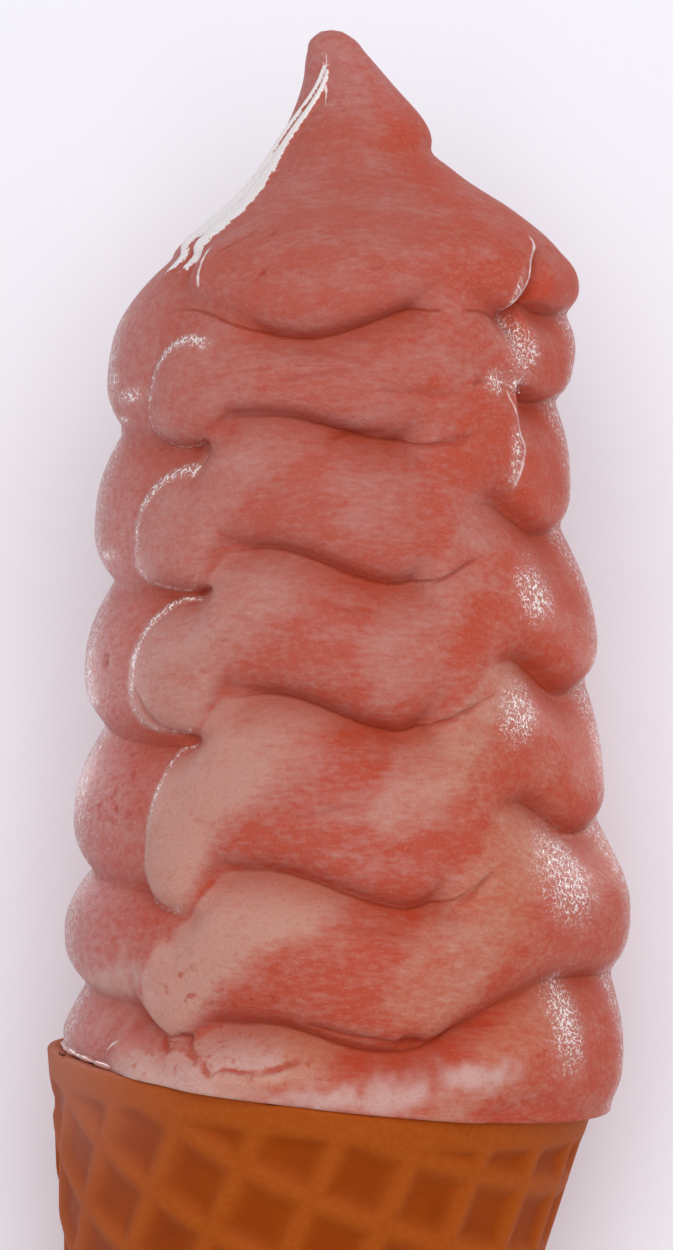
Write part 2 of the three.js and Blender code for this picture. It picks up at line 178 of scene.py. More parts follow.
def mesh_object(name: str, points: Array, *faces: Array) -> Thing:
    """An object from arrays of points and faces, put in with foreach_set.

    Args:
        name: the object's name.
        points: points in metres, shaped (n, 3).
        faces: arrays with a face's point numbers in each row.

    Returns:
        The object, at the origin and smooth shaded.
    """
    mesh = bpy.data.meshes.new(name)
    loops = np.concatenate([group.reshape(-1) for group in faces])
    sizes = np.concatenate([np.full(len(group), group.shape[1]) for group in faces])
    mesh.vertices.add(len(points))
    mesh.vertices.foreach_set("co", points.astype(np.float32).reshape(-1))
    mesh.loops.add(len(loops))
    mesh.loops.foreach_set("vertex_index", loops.astype(np.int32))
    mesh.polygons.add(len(sizes))
    mesh.polygons.foreach_set("loop_start", (np.cumsum(sizes) - sizes).astype(np.int32))
    mesh.polygons.foreach_set("use_smooth", np.ones(len(sizes), dtype=bool))
    mesh.update(calc_edges=True)
    mesh.validate()
    thing = bpy.data.objects.new(name, mesh)
    bpy.context.scene.collection.objects.link(thing)
    return thing


def skin(name: str, rings: Array, poles: Array | None = None) -> Thing:
    """A mesh of stacked rings, closed by a fan at each pole, or into a tube where there are none.

    Args:
        name: the object's name.
        rings: points in metres, shaped (rings, columns, 3), bottom ring first.
        poles: the bottom and the top pole.

    Returns:
        The object.
    """
    count, columns = rings.shape[:2]
    index = np.arange(count * columns).reshape(count, columns)
    step = np.roll(index, -1, axis=1)
    lower = np.arange(count if poles is None else count - 1)
    upper = (lower + 1) % count
    quads = np.stack([index[lower], step[lower], step[upper], index[upper]], axis=-1).reshape(-1, 4)
    if poles is None:
        return mesh_object(name, rings.reshape(-1, 3), quads)
    low, high = np.full(columns, count * columns), np.full(columns, count * columns + 1)
    bottom = np.stack([low, step[0], index[0]], axis=-1)
    top = np.stack([high, index[-1], step[-1]], axis=-1)
    return mesh_object(name, np.concatenate([rings.reshape(-1, 3), poles]), quads, bottom, top)


def add_attributes(thing: Thing, fields: dict[str, Array], below: int, above: int, rest: float) -> None:
    """Stores fields over the rings of a skin as attributes of its points, for its material to read.

    Args:
        thing: the skin.
        fields: values shaped (rings, columns), by name.
        below: how many rings of the skin come before those of the fields.
        above: how many come after them.
        rest: the value on those rings and on the poles.
    """
    for name, values in fields.items():
        padded = np.pad(values, ((below, above), (0, 0)), constant_values=rest).reshape(-1)
        layer = thing.data.attributes.new(name, "FLOAT", "POINT")
        layer.data.foreach_set("value", np.append(padded, [rest, rest]).astype(np.float32))


def specks(name: str, seed: int, centres: Array, normals: Array, sizes: Array, flat: float) -> Thing:
    """Small pieces joined into one mesh: each is a flattened, uneven octahedron set on a surface.

    Args:
        name: the object's name.
        seed: picks their turns and stretches.
        centres: their places in metres.
        normals: outward directions of the surface under them.
        sizes: their half widths in metres.
        flat: their thickness as a share of their width.

    Returns:
        The object, flat shaded.
    """
    rng = np.random.default_rng(seed)
    count, sizes = len(centres), sizes[:, None]
    first = np.cross(normals, rng.normal(size=(count, 3)))
    first /= np.linalg.norm(first, axis=1, keepdims=True)
    second = np.cross(normals, first)
    up = normals + rng.normal(0, 0.35, (count, 1)) * first
    up *= sizes * flat / np.linalg.norm(up, axis=1, keepdims=True)
    stretch = rng.uniform(0.6, 1.5, (count, 1))
    first, second = first * sizes * stretch, second * sizes / stretch
    near, far = rng.uniform(0.6, 1.0, (count, 1)), rng.uniform(0.6, 1.0, (count, 1))
    reach = np.stack([first, second, -first * near, -second * far, up, -up], axis=1)
    upper = [[0, 1, 4], [1, 2, 4], [2, 3, 4], [3, 0, 4]]
    lower = [[1, 0, 5], [2, 1, 5], [3, 2, 5], [0, 3, 5]]
    index = (np.arange(count)[:, None, None] * 6 + np.array(upper + lower)).reshape(-1, 3)
    thing = mesh_object(name, (centres[:, None] + reach).reshape(-1, 3), index)
    thing.data.polygons.foreach_set("use_smooth", np.zeros(len(thing.data.polygons), dtype=bool))
    return thing


# ---- The treat's sizes and its place in the frame ----


@dataclass(frozen=True)
class ConeSizes:
    """Sizes of the rolled sugar cone, in millimetres and degrees."""

    rim_radius: float = 28.7
    length: float = 134.0
    tip_radius: float = 2.6
    tip_rounding: float = 2.0
    wall: float = 1.5
    band: float = 3.3
    band_proud: float = 0.4
    rim_edge: float = 0.5
    lean: float = 6.5
    pitch: float = 1.8
    plug_end: float = 12.0
    gap: float = 0.3  # between the wafer and the soft serve

    def wall_radius(self, depth: Array | float) -> Array | float:
        """The wall's outer radius at a depth below the rim: straight from the rim to the tip."""
        start = self.rim_radius - self.band_proud
        return start + (self.tip_radius - start) * depth / self.length

    def tilted(self, points: Array) -> Array:
        """Turns points about the front of the rim by the pitch, and then about the y axis by the lean.

        Args:
            points: points in the cone's own space.

        Returns:
            The same points in the swirl's space.
        """
        pitch, lean = math.radians(self.pitch), math.radians(self.lean)
        x, behind, z = points[..., 0], points[..., 1] + self.rim_radius, points[..., 2]
        y = behind * math.cos(pitch) - z * math.sin(pitch) - self.rim_radius
        z = behind * math.sin(pitch) + z * math.cos(pitch)
        x, z = x * math.cos(lean) + z * math.sin(lean), z * math.cos(lean) - x * math.sin(lean)
        return np.stack([x, y, z], axis=-1)

    def rim_drop(self, x: Array, y: Array) -> Array:
        """How far the rim's plane lies below the middle of an untilted rim."""
        pitch, lean = math.radians(self.pitch), math.radians(self.lean)
        return x * math.tan(lean) - (y + self.rim_radius) * math.tan(pitch) / math.cos(lean)


@dataclass
class Standing:
    """Carries points from the treat's standing space into the frame, and presses what lies on the floor.

    The turn is the one that lays the back of the cone, from rim to tip, on the floor. The move is read
    off the CAD boxes: the rim's right end is the cone's highest x, its front is the cone's highest z,
    and the peak is the swirl's highest y.
    """

    cone: ConeSizes
    peak_height: float
    turn: float = field(init=False)
    move: Array = field(init=False)

    def __post_init__(self) -> None:
        """Works out the turn and the move."""
        radius, edge = self.cone.rim_radius, -self.cone.rim_edge
        tip = [0.0, self.cone.tip_radius, self.cone.tip_rounding - self.cone.length]
        anchors = np.array([[0.0, radius, edge], tip, [radius, 0.0, edge], [0.0, -radius, edge]])
        back, tip, right, front = self.cone.tilted(anchors)
        self.turn = -math.atan2(back[2] - tip[2], back[1] - tip[1])
        right, front, peak = self.turned(np.array([right, front, [0.0, 0.0, self.peak_height]]))
        cone_top, swirl_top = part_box("cone")[1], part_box("soft_serve")[1]
        self.move = np.array([cone_top[0], swirl_top[1], cone_top[2]]) / MM - [right[0], peak[1], front[2]]

    def turned(self, points: Array) -> Array:
        """Turns points about the x axis, so that the treat lies on its back.

        Args:
            points: points or directions in the standing space.

        Returns:
            The same ones, turned.
        """
        c, s = math.cos(self.turn), math.sin(self.turn)
        x, y, z = points[..., 0], points[..., 1], points[..., 2]
        return np.stack([x, y * c - z * s, y * s + z * c], axis=-1)

    def place(self, points: Array) -> Array:
        """Lays points in the frame; what would reach below the floor is pressed flat onto it.

        Args:
            points: points in the standing space.

        Returns:
            The same points in the frame, in metres.
        """
        laid = self.turned(points) + self.move
        laid[..., 2] = np.maximum(laid[..., 2], 0.0)
        return laid * MM

    def matrix(self) -> Matrix:
        """The same turn and move as a matrix, for the camera."""
        return Matrix.Translation(Vector(self.move * MM)) @ Matrix.Rotation(self.turn, 4, "X")


# ---- The swirl's shape ----

LOBES = 6  # in one turn of the rope
EDGE_POWER = 2.6  # the cap rises from its lower edge by this power, nearly as an ellipse does


def spots(rows: tuple[tuple[float, ...], ...], bearing: Array, height: Array) -> Array:
    """The sum of soft-edged spots on the swirl, each the product of two bells.

    Args:
        rows: a bearing, a height, a width and a tallness for each spot.
        bearing: bearings of the points.
        height: their heights.

    Returns:
        The spots' strength at each point.
    """
    parts = [(turn_between(at, bearing), wide, height - up, tall) for at, up, wide, tall in rows]
    return sum(bell(across, 0, wide) * bell(above, 0, tall) for across, wide, above, tall in parts)


@dataclass(frozen=True)
class Line:
    """A thin straight line on the unrolled side, tapered at both ends, which are bearings and heights."""

    bearing: float
    height: float
    end_bearing: float
    end_height: float
    wide: float = 0.45
    strength: float = 0.45
    deep: float = 0.0

    def measured(self, bearing: Array, height: Array, radius: Array) -> tuple[Array, Array, Array]:
        """Where points lie along and across the line.

        Args:
            bearing: bearings of the points.
            height: their heights.
            radius: the swirl's radius there.

        Returns:
            The distance to the line's segment, the signed distance across it, and its taper, from 0 to 1.
        """
        arc = math.radians(1.0) * radius
        x, y = arc * turn_between(self.bearing, bearing), height - self.height
        run, rise = arc * (self.end_bearing - self.bearing), self.end_height - self.height
        along = np.clip((x * run + y * rise) / (run**2 + rise**2), 0, 1)
        across = (x * rise - y * run) / np.hypot(run, rise) + 0.35 * ripple(bearing, height, 60, 2.4, 8)
        return np.hypot(x - along * run, y - along * rise), across / self.wide, 1 - (2 * along - 1) ** 4


def nearest_line(gaps: list[Array], tapers: list[Array], strengths: list[float]) -> tuple[Array, Array]:
    """Finds the nearest of some lines at each point, where a faded line counts as further away.

    Args:
        gaps: signed distances across each line, in its widths.
        tapers: how far each line is from faded, from 0 to 1.
        strengths: their strengths.

    Returns:
        The nearest line's distance and its strength, which fades with the distance.
    """
    gap, taper = np.stack(gaps), np.stack(tapers)
    cut = taper * np.array(strengths)[:, None, None]
    nearest = np.argmin(np.abs(gap) + 6 * (1 - taper), axis=0)[None]
    gap = np.clip(np.take_along_axis(gap, nearest, 0)[0], -3, 3)
    return gap, np.take_along_axis(cut, nearest, 0)[0] * fall(np.abs(gap), 1.6, 2.8)


# Wrinkles and cracks in the soft serve's surface: both ends, width, strength and depth.
WRINKLES = tuple(
    Line(*row)
    for row in (
        (-16, 74, 5, 74.8, 0.45, 0.45, 0.12), (-14, 76.4, 8, 75.6, 0.5, 0.45, 0.07),
        (-3, 67.3, 13, 68.2, 0.45, 0.45, 0.12), (9, 72.8, 30, 72.6, 0.5, 0.45, 0.08),
        (-41.5, 66.4, -33, 67.3, 0.5, 0.8, 0.2), (-40, 51.2, -31.5, 52.5, 0.5, 0.9, 0.2),
        (-44, 38.3, -33.5, 36.6, 0.5, 0.7, 0.15), (-53, 42.8, -43.5, 38.2, 0.5, 0.5, 0.1),
        (33, 73.6, 38, 73.8, 0.4, 0.45, 0.15), (19, 66.8, 34.5, 68.4, 0.5, 0.8, 0.15),
        (20, 52.8, 33.5, 56, 0.5, 0.9, 0.15), (20, 38.8, 31, 41.6, 0.5, 0.8, 0.15),
        (21, 21.4, 31, 24.6, 0.5, 0.8, 0.15), (5, 38, 16, 36.5, 0.4, 0.45, 0.06),
        (-6, 51.5, 9, 50, 0.4, 0.45, 0.06), (-12, 30, 4, 31.5, 0.5, 0.45, 0.06),
        (-2, 19, 16, 17.4, 0.5, 0.45, 0.07), (-8.5, 9.2, 10.8, 7.1, 0.45, 0.8, 0.1),
        (9, 7.2, 18.5, 6.7, 0.6, 1, 0.1), (10.5, 7.4, 16, 7, 1, 1, 0.2), (16, 6.8, 32, 9, 0.45, 0.7, 0.1),
        (-47.5, 9.5, -30.8, 6.2, 0.5, 0.6, 0.1), (-36.5, 7.8, -32.8, 7, 0.7, 1, 0.2),
        (-34.5, 7.2, -29, 5, 0.8, 1, 0.08), (-28.5, 5.6, -25.5, 3.4, 0.7, 1, 0.08),
        (-25.5, 4.6, -16.5, 4.4, 0.7, 1, 0.08), (-17, 4.3, -8.5, 5.6, 0.7, 1, 0.06),
        (-41, 7.6, -37, 5.4, 0.6, 1, 0.08), (-34.6, 90, -39.6, 88, 0.3, 0.5, 0.06),
        (-39, 88.2, -43.5, 87.5, 0.3, 0.8, 0.06), (-29.4, 89.2, -27.6, 89.5, 0.5, 0.9, 0.1),
        (-26, 84.9, -23.8, 85, 0.5, 0.9, 0.1), (-7.5, 87.8, -5.5, 88, 0.4, 0.6, 0.06),
        (2, 85.4, 5, 85.6, 0.4, 0.6, 0.06), (-66.7, 45.4, -64.6, 45.8, 0.6, 0.9, 0.15),
    )
)

# Lines of glassy ice, drawn as painted glints: the wet band's tail and tip, and thin ones on the left and
# the right.
ICE_GLINT_LINES = tuple(
    Line(*row)
    for row in (
        (-49.5, 88, -46.5, 85.6, 0.45, 1), (-46.8, 86, -44, 83.6, 0.45, 0.9),
        (-20, 108.2, -31, 105.4, 0.45, 0.9), (-27, 105.6, -25, 102.6, 0.45, 0.8),
        (57, 89.6, 50, 86.6, 0.6, 0.8), (50, 86.8, 46.6, 83.6, 0.7, 0.9),
        (46.8, 83.8, 43.6, 80.4, 0.6, 0.9), (44, 73.2, 49, 70.6, 0.4, 0.6),
        (48.6, 71, 51.6, 67.4, 0.5, 0.8), (51.6, 67.8, 48, 63, 0.4, 0.5), (-56.8, 5, -52.5, 6.6, 0.45, 0.9),
    )
)

# Spots of whitish cream, of frost with painted glints, and of deep red pits: bearing, height, width and
# tallness.
CREAM = (
    (-37, 1.5, 17, 4), (-19, 5.6, 9, 1.8), (-8, 0.8, 12, 1.8), (12, 2, 12, 2.4), (28, 4.4, 10, 1.5),
    (-56, 12, 14, 4), (-46, 3.6, 8, 2.4),
)
FROST = (
    (48.7, 77.5, 5.5, 2.1), (40, 74, 2.8, 1.1), (48.5, 73.6, 3.5, 0.8), (47.6, 66.6, 1.8, 3),
    (45, 82.6, 1.5, 2.2), (48, 52.6, 6, 2.7), (41, 40.4, 6, 2.6), (50, 23.6, 8.5, 4.2), (51, 8.8, 5, 4.4),
    (-74, 74.8, 5, 0.9), (-63, 72.8, 7, 0.7), (-70, 70.2, 5, 0.6), (-70, 56.6, 5, 0.5), (-76, 41.4, 6, 0.7),
    (-84, 28, 6, 4),
)
PITS = (
    (-57, 32.5, 10, 5.5), (-33, 13.5, 7, 2.5), (-20, 12, 8, 1.5), (-31, 6.2, 4.5, 1.4), (-14, 4.6, 13, 1.6),
    (-40, 4.6, 6, 1.4), (-24, 8, 8, 1),
)


@dataclass(frozen=True)
class FrontSheet:
    """The cap's front sheet: it lies over the coil and wraps up to the peak."""

    left: float = -55.0
    left_turn: float = 46.0  # the left edge turns this far to the front as it nears the peak
    right: float = 49.5
    right_bulge: float = 6.0
    right_turn: float = 40.0  # and the right edge slants this far to the back
    foot: float = 79.2
    wave: float = 1.9
    wave_middle: float = 0.5
    wave_span: float = 57.5
    wave_turns: float = 1.55  # half waves in a span
    wave_phase: float = 0.3
    climb: float = 8.0
    squareness: int = 12
    proud: float = 1.1
    top_slope: float = 0.07
    melt_bend: float = 7.0  # the melt bends this far to the right of the left edge
    melt_bend_at: float = 93.0

    def left_edge(self, height: Array) -> Array:
        """The bearing of the left edge."""
        return self.left + self.left_turn * smooth(height, 97, 110)

    def across(self, bearing: Array, height: Array) -> Array:
        """Places across the sheet.

        Args:
            bearing: bearings of the points.
            height: their heights.

        Returns:
            The places, from -1 at the sheet's left edge to 1 at its right.
        """
        left = self.left_edge(height)
        right = self.right + self.right_bulge * smooth(height, 79, 87)
        right = right + self.right_turn * smooth(height, 86, 93)
        return 2 * turn_between((left + right) / 2, bearing) / (right - left)

    def edge(self, bearing: Array) -> Array:
        """The height of the lower edge, which hangs below the foot's height by a wave's cosine."""
        phase = self.wave_turns * turn_between(self.wave_middle, bearing) / self.wave_span + self.wave_phase
        return self.foot - self.wave * np.cos(np.pi * phase)

    def covers(self, bearing: Array, height: Array) -> Array:
        """Whether a bearing lies between the sheet's edges."""
        return np.abs(self.across(bearing, height)) < 1

    def height(self, bearing: Array, height: Array) -> Array:
        """How high the sheet stands: the root of 1 - across^squareness - (1 - climb)^power.

        Args:
            bearing: bearings of the points.
            height: their heights.

        Returns:
            Its height over the creases, as a share of their depth.
        """
        across = self.across(bearing, height)
        climb = np.clip((height - self.edge(bearing)) / self.climb, 0.0, 1.0)
        inside = np.clip(1 - np.abs(across) ** self.squareness - (1 - climb) ** EDGE_POWER, 0.0, 1.0)
        return np.where(climb > 0, inside**0.5 * (self.proud - self.top_slope * across), 0.0)

    def from_left(self, bearing: Array, height: Array) -> Array:
        """How far right of the left edge points lie.

        Args:
            bearing: bearings of the points.
            height: their heights.

        Returns:
            Degrees, divided by how wide the melt is there, as it is narrow at its ends.
        """
        wide = 0.55 + 0.45 * fall(height, 98, 106) - 0.5 * fall(height, 86, 92)
        bend = self.melt_bend * bell(height, self.melt_bend_at, 6)
        return turn_between(self.left_edge(height), bearing - bend) / wide

    def lips(self, bearing: Array, height: Array) -> Array:
        """Two flat ridges of melted, refrozen soft serve along the left edge.

        Args:
            bearing: bearings of the points.
            height: their heights.

        Returns:
            The ridges' height, from 0 to 1.
        """
        away = self.from_left(bearing, height)
        ridges = np.maximum(bell(away, -8, 7, 4), bell(away, -23, 6, 4))
        return ridges * smooth(height, 83, 87) * fall(height, 105, 109)

    def wet(self, bearing: Array, height: Array) -> Array:
        """The glassy melt, which lies on the ridges and fills the groove between them on the way up; its
        white is a painted highlight.

        Args:
            bearing: bearings of the points.
            height: their heights.

        Returns:
            Where it is wet, from 0 to 1.
        """
        fill = bell(self.from_left(bearing, height), -15.5, 14, 6)
        fill = fill * smooth(height, 87, 91) * fall(height, 97, 101)
        return np.maximum(self.lips(bearing, height), fill)


@dataclass(frozen=True)
class Column:
    """One of the columns of lobes that stand round the swirl. Places across it run from -1 to 1.

    Attributes:
        break_at: the bearing where the creases are broken, at the column's left edge.
        half: half its width in degrees, the unit of places across it.
        lift: how much higher its creases lie than an even climb puts them, in millimetres.
        low_lift: the further lift of its lowest creases.
        nose: how far its lobes' noses reach, from 0 to 1.
        streak: the strength of its pale streaks.
        streak_end: the place across where its streaks end, at half height.
        streak_slope: how far that end leans to the right with height.
        skew: how far the streak's round left end leans.
        low_streak: how far right its lowest streak lies.
        crest_at: the place across where a crease starts to fall from its crest.
        swing: the length of a crease's wave, in places across.
        recovery: how much of the fall a crease regains at its right end.
        tall: the size of the wave, as a share of the front column's.
        right_rise: how much higher the right ends of the low creases lie.
        roundness: how round the lobes bulge, from 0 for flat pillows to 1.
        opens: the places across where its creases start to open and are open, if they fade in.
        closes: the places across where they start to close and are closed, if they fade out.
        shallow: how much shallower its creases are about the place in shallow_at.
        shifts: further lifts of its creases, from the lowest turn up.
        lengths: the lengths of its noses, as shares of the usual one.
        glints: the strengths of the glints on their edges.
    """

    break_at: float
    half: float
    lift: float
    low_lift: float
    nose: float
    streak: float
    streak_end: float = -0.5
    streak_slope: float = 0.6
    skew: float = 0.0
    low_streak: float = 0.0
    crest_at: float = -0.5
    swing: float = 2.1
    recovery: float = 1.0
    tall: float = 1.0
    right_rise: float = 0.0
    roundness: float = 0.6
    opens: tuple[float, float] | None = None
    closes: tuple[float, float] | None = None
    shallow: float = 0.0
    shallow_at: float = 0.15
    shifts: tuple[float, ...] = ()
    lengths: tuple[float, ...] = ()
    glints: tuple[float, ...] = ()

    @property
    def middle(self) -> float:
        """The bearing of place 0."""
        return self.break_at + 0.97 * self.half


FRONT = Column(
    -33.0, 30.0, 0.0, 0.0, 1.0, 1.0, swing=2.2, right_rise=2.3, roundness=0.35, closes=(1.05, 1.6),
    shifts=(0.0, 0.0, -0.4, 0.0, -0.2), lengths=(0.9, 0.65, 1.8, 1.8, 1.3),
    glints=(0.0, 0.7, 0.9, 1.0, 1.0),
)
FRONT_RIGHT = Column(
    26.0, 37.0, 1.4, 1.0, 0.15, 0.7, streak_end=-0.9, streak_slope=0.57, skew=0.28, low_streak=0.24,
    crest_at=-0.62, swing=1.3, recovery=0.45, roundness=0.5, opens=(-1.0, -0.35), shallow=0.55,
    shallow_at=0.95, shifts=(-0.3, 2.2, -0.8, 1.3, 0.7),
)
FRONT_LEFT = Column(
    252.0, 37.5, 0.9, 2.8, 0.8, 0.35, crest_at=-0.45, swing=2.4, tall=0.65, shallow=0.45,
    shifts=(3.2, 0.6, -0.7, -0.2, 0.8),
)
BACK_RIGHT = Column(112.0, 23.0, 2.6, 1.2, 0.7, 0.25)
BACK = Column(158.0, 23.5, 1.8, 1.0, 0.8, 0.6)
BACK_LEFT = Column(205.0, 23.5, 1.2, 1.5, 0.7, 0.6)
COLUMNS = (FRONT, FRONT_RIGHT, BACK_RIGHT, BACK, BACK_LEFT, FRONT_LEFT)


def at_turn(values: tuple[float, ...], lobe: int, missing: float) -> float:
    """The value for the turn of the rope that a lobe is part of, or another where it has none."""
    return dict(enumerate(values)).get((lobe + 1) // LOBES, missing)


@dataclass
class SwirlShape:
    """The coiled rope of soft serve: outline, creases, lobes and the cap.

    Each turn of the rope is folded into six lobes. A lobe is a pillow between two creases. Its left end is
    a round nose that lies over the next lobe, and its right end is tucked under the nose of the lobe on
    its right. Each crease is broken at the edge of a lobe, where a bridge joins the lobes above and below.
    """

    cone: ConeSizes
    peak_height: float = 110.6
    peak_tip: float = 0.15
    crease_depth: float = 4.0
    full_depth_radius: float = 20.0  # where the swirl is thinner than this, its creases are shallower
    full_thickness: float = 15.0  # turns thinner than this have flatter waves
    crown: float = 1.1  # the relief at which the surface reaches the outline
    sag: float = 1.3
    wedge_top: float = 16.0
    skirt_tuck: float = 0.4
    crest: float = 2.45
    crease_middle: float = 0.5
    nose_drop: float = 2.6
    back_bulge: float = 3.4
    back_bulge_top: float = 34.0
    foot_bulge: float = 2.2
    foot_bulge_back: float = 0.1
    foot_bulge_left: float = 0.7
    flap_bearing: float = 85.0  # the middle of the cap's flap, which hangs out on the right
    flap_width: float = 50.0
    bridge_rise: float = 0.72
    bridge_width: float = 11.0
    bridge_height: float = 2.9
    foot_fill: float = 0.85
    upper_power: float = 2.2
    lower_power: float = 3.4
    over_nose: float = 0.15
    under_nose: float = 0.26
    nose_length: float = 0.64
    blunt_end: float = 0.14
    tucked_end: float = 0.45
    lobe_wander: float = 1.5
    lip: float = 0.55
    blend_power: float = 24.0
    tall_lobe: int = 23  # the lobe at the top left, which has no crease before the cap
    climbing_crease: int = 1  # the lowest crease right of the front
    climb: float = 5.6
    cap_foot: float = 86.5
    streak_reach: float = 25.5  # the radius that turns places across into millimetres for the streaks
    turn_heights: tuple[float, ...] = (-9.0, 6.1, 21.4, 39.5, 53.8, 68.2, 78.3, 88.0, 95.0)
    front_sheet: FrontSheet = FrontSheet()
    outline: tuple[tuple[float, float, float], ...] = (
        (-4.0, 29.2, 1.9), (2.0, 29.9, 2.3), (13.0, 30.1, 2.8), (21.0, 30.2, 3.0), (28.0, 29.0, 2.5),
        (37.0, 27.9, 2.25), (46.0, 27.6, 2.5), (62.0, 25.6, 1.6), (75.0, 25.1, 2.1), (82.0, 24.7, 3.4),
        (88.0, 21.8, 4.8), (92.5, 15.8, 4.9), (96.0, 11.0, 3.9), (101.0, 7.2, 3.4), (105.5, 4.7, 2.7),
        (108.6, 3.1, 1.6), (110.0, 2.2, 1.2), (110.6, 1.2, 1.1),
    )  # height, radius and shift to the right

    def crease_height(self, lobe: int) -> float:
        """The mean height of a crease: a curve through the turns' heights, and the column's lifts.

        Args:
            lobe: the lobe above it.

        Returns:
            The height in millimetres.
        """
        knots = (np.arange(len(self.turn_heights)) - 1.0) * LOBES
        height = float(spline(knots, np.array(self.turn_heights)[:, None], np.array([float(lobe)]))[0, 0])
        column = COLUMNS[lobe % LOBES]
        lift = column.lift * smooth(95 - height, 0, 12) + column.low_lift * fall(height, 8, 40)
        return height + lift + at_turn(column.shifts, lobe, 0.0)

    def crease_wave(self, lobe: int, across: Array, nose: float) -> Array:
        """How far a crease lies above its mean.

        It keeps to its crest on the left, falls and rises again by a cosine to the right, and steps down
        to the nose left of -0.97. The lowest crease of the front doesn't step down, and climbs on
        through the column on its right.

        Args:
            lobe: the lobe above the crease.
            across: places across it.
            nose: how far its nose reaches.

        Returns:
            The height in millimetres.
        """
        if lobe == self.climbing_crease:
            return 1.6 - self.climb * fall(across, -1.3, -0.3)
        column = COLUMNS[lobe % LOBES]
        share = np.clip((across - column.crest_at) / column.swing, 0, 1)
        wave = np.cos(2 * np.pi * share)
        wave = np.where(share > 0.5, (wave + 1) * column.recovery - 1, wave)
        swing = column.tall * (self.crease_middle + (self.crest - self.crease_middle) * wave)
        low = fall(self.crease_height(lobe), 42, 72)
        swing = swing + column.right_rise * low * smooth(across, 0.5, 1.1)
        step = smooth(-across, 0.76, 1.14)
        if lobe == self.climbing_crease - 1:
            swing = swing + smooth(across, 0, 0.6)
            return swing * (1 - step) + 3.0 * smooth(-across, 1.1, 1.5) * step
        return swing * (1 - step) - self.nose_fall(nose) * step

    def nose_fall(self, nose: float) -> float:
        """How far below its crease's mean a nose's lower edge lies."""
        return self.nose_drop * (0.4 + 0.6 * nose)

    def openness(self, lobe: int, across: Array) -> Array:
        """How far open the crease below a lobe is.

        Args:
            lobe: the lobe's number along the rope.
            across: places across it.

        Returns:
            The share of the creases' depth that it reaches, from 0 to 1.
        """
        column = COLUMNS[lobe % LOBES]
        share = 1 - column.shallow * bell(across, column.shallow_at, 0.6)
        if lobe in (self.climbing_crease, self.climbing_crease - 1):
            return share
        if column.opens:
            share = share * smooth(across, *column.opens)
        if column.closes:
            share = share * fall(across, *column.closes)
        return share

    def lobe(self, lobe: int, bearing: Array, height: Array) -> dict[str, Array]:
        """One lobe of the coil.

        Args:
            lobe: its number along the rope.
            bearing: bearings of the points.
            height: their heights.

        Returns:
            Its rise as a share of the creases' depth, the rise of the bridge at its lower left, the place
            across and up it, the crease below it, the zone of its nose's edge where a painted glint lies
            and that glint's strength, and where it is bared for its streak.
        """
        column, right_column = COLUMNS[lobe % LOBES], COLUMNS[(lobe + 1) % LOBES]
        across = turn_between(column.middle + self.lobe_wander * uneven(lobe), bearing) / column.half
        nose = column.nose * (0.92 + 0.12 * uneven(lobe + 0.5))
        end = float(turn_between(column.middle, right_column.break_at)) / column.half
        above = lobe + LOBES * (2 if lobe == self.tall_lobe else 1)
        low, high = self.crease_height(lobe), self.crease_height(above)
        share = min(1.0, (high - low) / self.full_thickness)
        bottom = low + self.crease_wave(lobe, across, nose) * share
        top = high + self.crease_wave(above, across, nose) * share
        # Under the cap's sheet, a lobe ends at the sheet's edge or is hidden.
        sheet, edge = self.front_sheet, self.front_sheet.edge(bearing)
        covered = sheet.covers(bearing, height)
        hidden = covered & (low > sheet.foot - 4)
        top = np.where(covered & (abs(high - sheet.foot) < 7), edge, top)
        # Inside is 1 in the lobe's middle and 0 on its outline, a superellipse with a longer left end.
        up = (2 * height - top - bottom) / np.maximum(top - bottom, 0.01)
        length = at_turn(column.lengths, lobe, 1.0)
        left = np.maximum(0, -across - 1.0) / (self.blunt_end + self.nose_length * nose * length)
        right = np.maximum(0, across - end + 0.05) / self.tucked_end
        crease = np.where(up > 0, self.openness(above, across), self.openness(lobe, across))
        power = np.where(up > 0, self.upper_power, self.lower_power)
        inside = 1 - left ** (2.0 + nose) - right**2.5 - crease * np.abs(up) ** power
        shown = (inside > 0) & (np.abs(up) < 1.4) & (top > bottom) & ~hidden
        # A nose stands out over its neighbour, which is tucked under it.
        tuck = self.under_nose * right_column.nose * smooth(across, end - 1.1, end - 0.4)
        proud = 1 + self.over_nose * nose * smooth(-across, 0.2, 1.4) - tuck
        depth = np.clip(inside, 0, 1)
        pillow = (1 - column.roundness) * depth**0.5 + column.roundness * depth**1.3
        # A bridge fills the break in the crease, and the crease's line fades there.
        gap_middle = low + share * (self.crest - self.nose_fall(nose)) / 2
        bridge = bell(across, -0.97, self.bridge_width / column.half)
        bridge = self.bridge_rise * bridge * bell(height, gap_middle, self.bridge_height * share)
        cut = self.openness(lobe, across) * np.clip(1 - left**2 - right**2, 0, 1) * (~hidden & (share > 0))
        cut = cut * (1 - 0.9 * bell(across, -0.95, 0.45)) * (1 - 0.85 * smooth(-across, 0.9, 1.15))
        return {
            "rise": np.where(shown, pillow, 0.0) * proud,
            "bridge": np.where(hidden, 0.0, bridge) * (column.opens is None),
            "across": across,
            "up": up,
            "top": top,
            "bottom": bottom,
            "bared": ~(covered & (height > edge)) & (top > bottom),
            "gap": height - bottom,
            "cut": cut * (1 - right_column.nose * smooth(across, end - 0.36, end - 0.2)),
            # The zone of the nose's edge where a painted glint is laid.
            "nose_glint_zone": smooth(-across, 1.0, 1.15) * smooth(up, -1.2, -0.9) * (inside > 0),
            "glint": at_turn(column.glints, lobe, 0.0) * (0.5 + 0.5 * smooth(up, -0.4, 0.6)),
            "length": length,
        }

